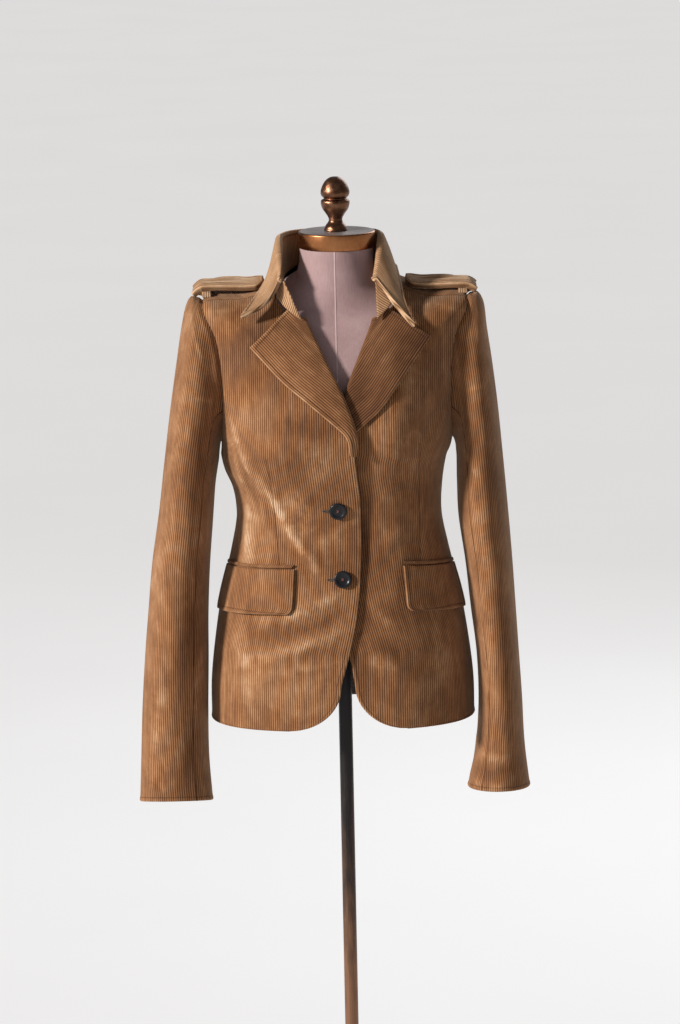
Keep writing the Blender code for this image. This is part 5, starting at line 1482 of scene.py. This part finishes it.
def build_cloth():
    cloth = corduroy("corduroy_brown", CLOTH_STOPS, 0.3)
    # Collar, straps and keepers: a paler cloth, lightened in part as painted light.
    pale = (corduroy("corduroy_pale", PALE_STOPS, 0.4),) * 2
    # The wearer's left lapel gets a darker copy of the cloth, as painted shade.
    shaded_lapel = corduroy("corduroy_painted_shade", SHADED_LAPEL_STOPS, 0.2)
    # Inner faces get the near-black lining, which also serves as painted shade inside the jacket.
    lined = cloth, lining("lining_dark_and_painted_shade", LINING_AND_SHADE_COLOR)
    seam = np.degrees(SEAM / 2 / SLEEVE_RADIUS)
    upper, under = 180 - UNDER_SLEEVE_HALF - seam, UNDER_SLEEVE_HALF - seam
    for side, word in ((RIGHT, "right"), (LEFT, "left")):
        form, front, back = ["form_torso"], ["front_" + word], ["back_" + word]
        panel = spread(*PANEL_COLUMNS), denser(panel_levels(side), FINE_LEVEL)
        creases = BODY_CREASES + (UNDER_FRONT_PAINTED_SHADING if side == LEFT else ())
        sew(front[0], front_place(side), panel, grain_upright(from_front_edge(side)), "lb", lined,
            "hung", form, creases=creases, extra=dart_values(side))
        sew(back[0], back_place(side), panel, grain_upright(from_centre_back, BACK_LEAST), "b",
            lined, "hung", form, creases=BACK_CREASES)
        sleeve, rows = sleeve_place(side), spread(*SLEEVE_ROWS)
        folds = {"creases": SLEEVE_CREASES_RIGHT if side == RIGHT else SLEEVE_CREASES_LEFT,
                 "tuck": side * SLEEVE_TUCK}
        sew("sleeve_top_" + word, sleeve, (spread(*TOP_COLUMNS, -upper, upper), rows),
            grain_sleeve, "t", lined, "hung", front, rope=SLEEVE_ROPE, **folds)
        low = spread(*UNDER_COLUMNS, 180 - under, 180 + under)
        sew("sleeve_under_" + word, sleeve, (low, rows), grain_from("middle"), "t", lined, "hung",
            front, **folds)
        # The left lapel takes the darker copy of the cloth: painted shade.
        sew("lapel_" + word, lapel_place(side), grid(LAPEL_GRID), grain_from("far"), "rt",
            (cloth if side == RIGHT else shaded_lapel,) * 2, "folded", front)
        flap = flap_place(side, FLAP_TOP_Z, FLAP_BOTTOM_Z, FLAP_LIFT, FLAP_CORNER)
        sew("flap_" + word, flap, grid(FLAP_GRID), grain_from("near"), "lrt", lined, "hung", front)
        welt = flap_place(side, FLAP_TOP_Z + WELT_HEIGHT, FLAP_TOP_Z + 3 * SEAM, 0.0, 0.0)
        sew("welt_" + word, welt, grid(WELT_GRID), grain_from("near"), "", lined, "laid", front)
        run, rows = grid(STRAP_GRID)
        x = STRAP_INNER_X + (STRAP_OUTER_X - STRAP_INNER_X) * run
        edge = KEEPER_X + KEEPER_WIDTH / 2
        deep = STRAP_FOLD_DEEP * (1 - smooth(x, edge, edge + STRAP_FOLD_REACH))
        folded = (np.maximum(strap_lift(x, side), 0) + deep) * smooth(x, edge, edge + STRAP_FOLD)
        sew("strap_" + word, rumpled(strap_place(side), STRAP_RUMPLES[side]), (run, rows),
            grain_turned, "lbt", pale, "laid", back, thick=STRAP_SHEET + folded, bulk=PUFF)
        sew("keeper_" + word, keeper_place(side), grid(KEEPER_GRID), grain_from("near"), "lrbt",
            pale, "folded", back, thick=keeper_thickness(side), bulk=0.0)
    around = denser(np.array(COLLAR_ENDS), COLLAR_SPACING)
    sew("collar_stand", with_normals(stand_shape, -1.0, COLLAR_STEP), (around, spread(*STAND_ROWS)),
        grain_from("middle"), "", pale, "folded", ["back_right", "back_left"])
    leaf = FALL_SHEET + (LEAF_SHEET - FALL_SHEET) * smooth(np.abs(around), *LEAF_FROM)
    sew("collar_fall", with_normals(fall_shape, 1.0, COLLAR_STEP), (around, spread(*FALL_ROWS)),
        grain_collar, "lrt", pale, "folded", ["collar_stand"], thick=leaf, bulk=PUFF)


def studio_light(name, kind, place, aim, size, power, color):
    light = bpy.data.lights.new(name, kind)
    light.energy, light.color = power, color
    if kind == "SUN":
        light.angle = size
    else:
        light.shape, light.size = "DISK", size
    lamp = bpy.data.objects.new(name, light)
    bpy.context.scene.collection.objects.link(lamp)
    lamp.location = place
    lamp.rotation_euler = (Vector(aim) - Vector(place)).to_track_quat("-Z", "Y").to_euler()


def build_studio():
    scene = bpy.context.scene
    turn = np.linspace(0, 2 * np.pi, FLOOR_SIDES + 1)[:-1]
    ring = FLOOR_RADIUS * np.stack((np.cos(turn), np.sin(turn), 0 * turn), -1)
    floor = add_piece("floor", ring, [list(range(FLOOR_SIDES))])
    floor.data.materials.append(matte_floor("floor_matte"))
    world = bpy.data.worlds.new("studio")
    world.use_nodes = True
    color, strength = world.node_tree.nodes["Background"].inputs[:2]
    color.default_value, strength.default_value = (*WORLD_COLOR, 1.0), WORLD_STRENGTH
    scene.world = world
    for light in LIGHTS:
        studio_light(*light)
    data = bpy.data.cameras.new("camera")
    data.lens, data.sensor_width, data.clip_end = CAMERA_LENS, 36.0, 200.0
    data.shift_x = CAMERA_SHIFT
    camera = bpy.data.objects.new("camera", data)
    scene.collection.objects.link(camera)
    place, aim = Vector(CAMERA_PLACE), Vector(CAMERA_AIM)
    ahead = (aim - place).normalized()
    right = ahead.cross(Vector((0, 0, 1))).normalized()
    up = right.cross(ahead)
    roll = np.radians(CAMERA_ROLL)
    right, up = right * np.cos(roll) + up * np.sin(roll), up * np.cos(roll) - right * np.sin(roll)
    turned = Matrix((right, up, -ahead)).transposed().to_4x4()
    camera.matrix_world = Matrix.Translation(place) @ turned
    scene.camera = camera
    scene.view_settings.view_transform = "Standard"


def main():
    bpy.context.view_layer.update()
    build_cloth()
    build_buttons(gloss_horn("button_horn"), thread("thread_red", THREAD_RED),
                  thread("thread_dark", THREAD_DARK))
    build_form_visual(linen("linen_pink"))
    build_stand_visual()
    build_studio()
    bpy.context.view_layer.update()


main()
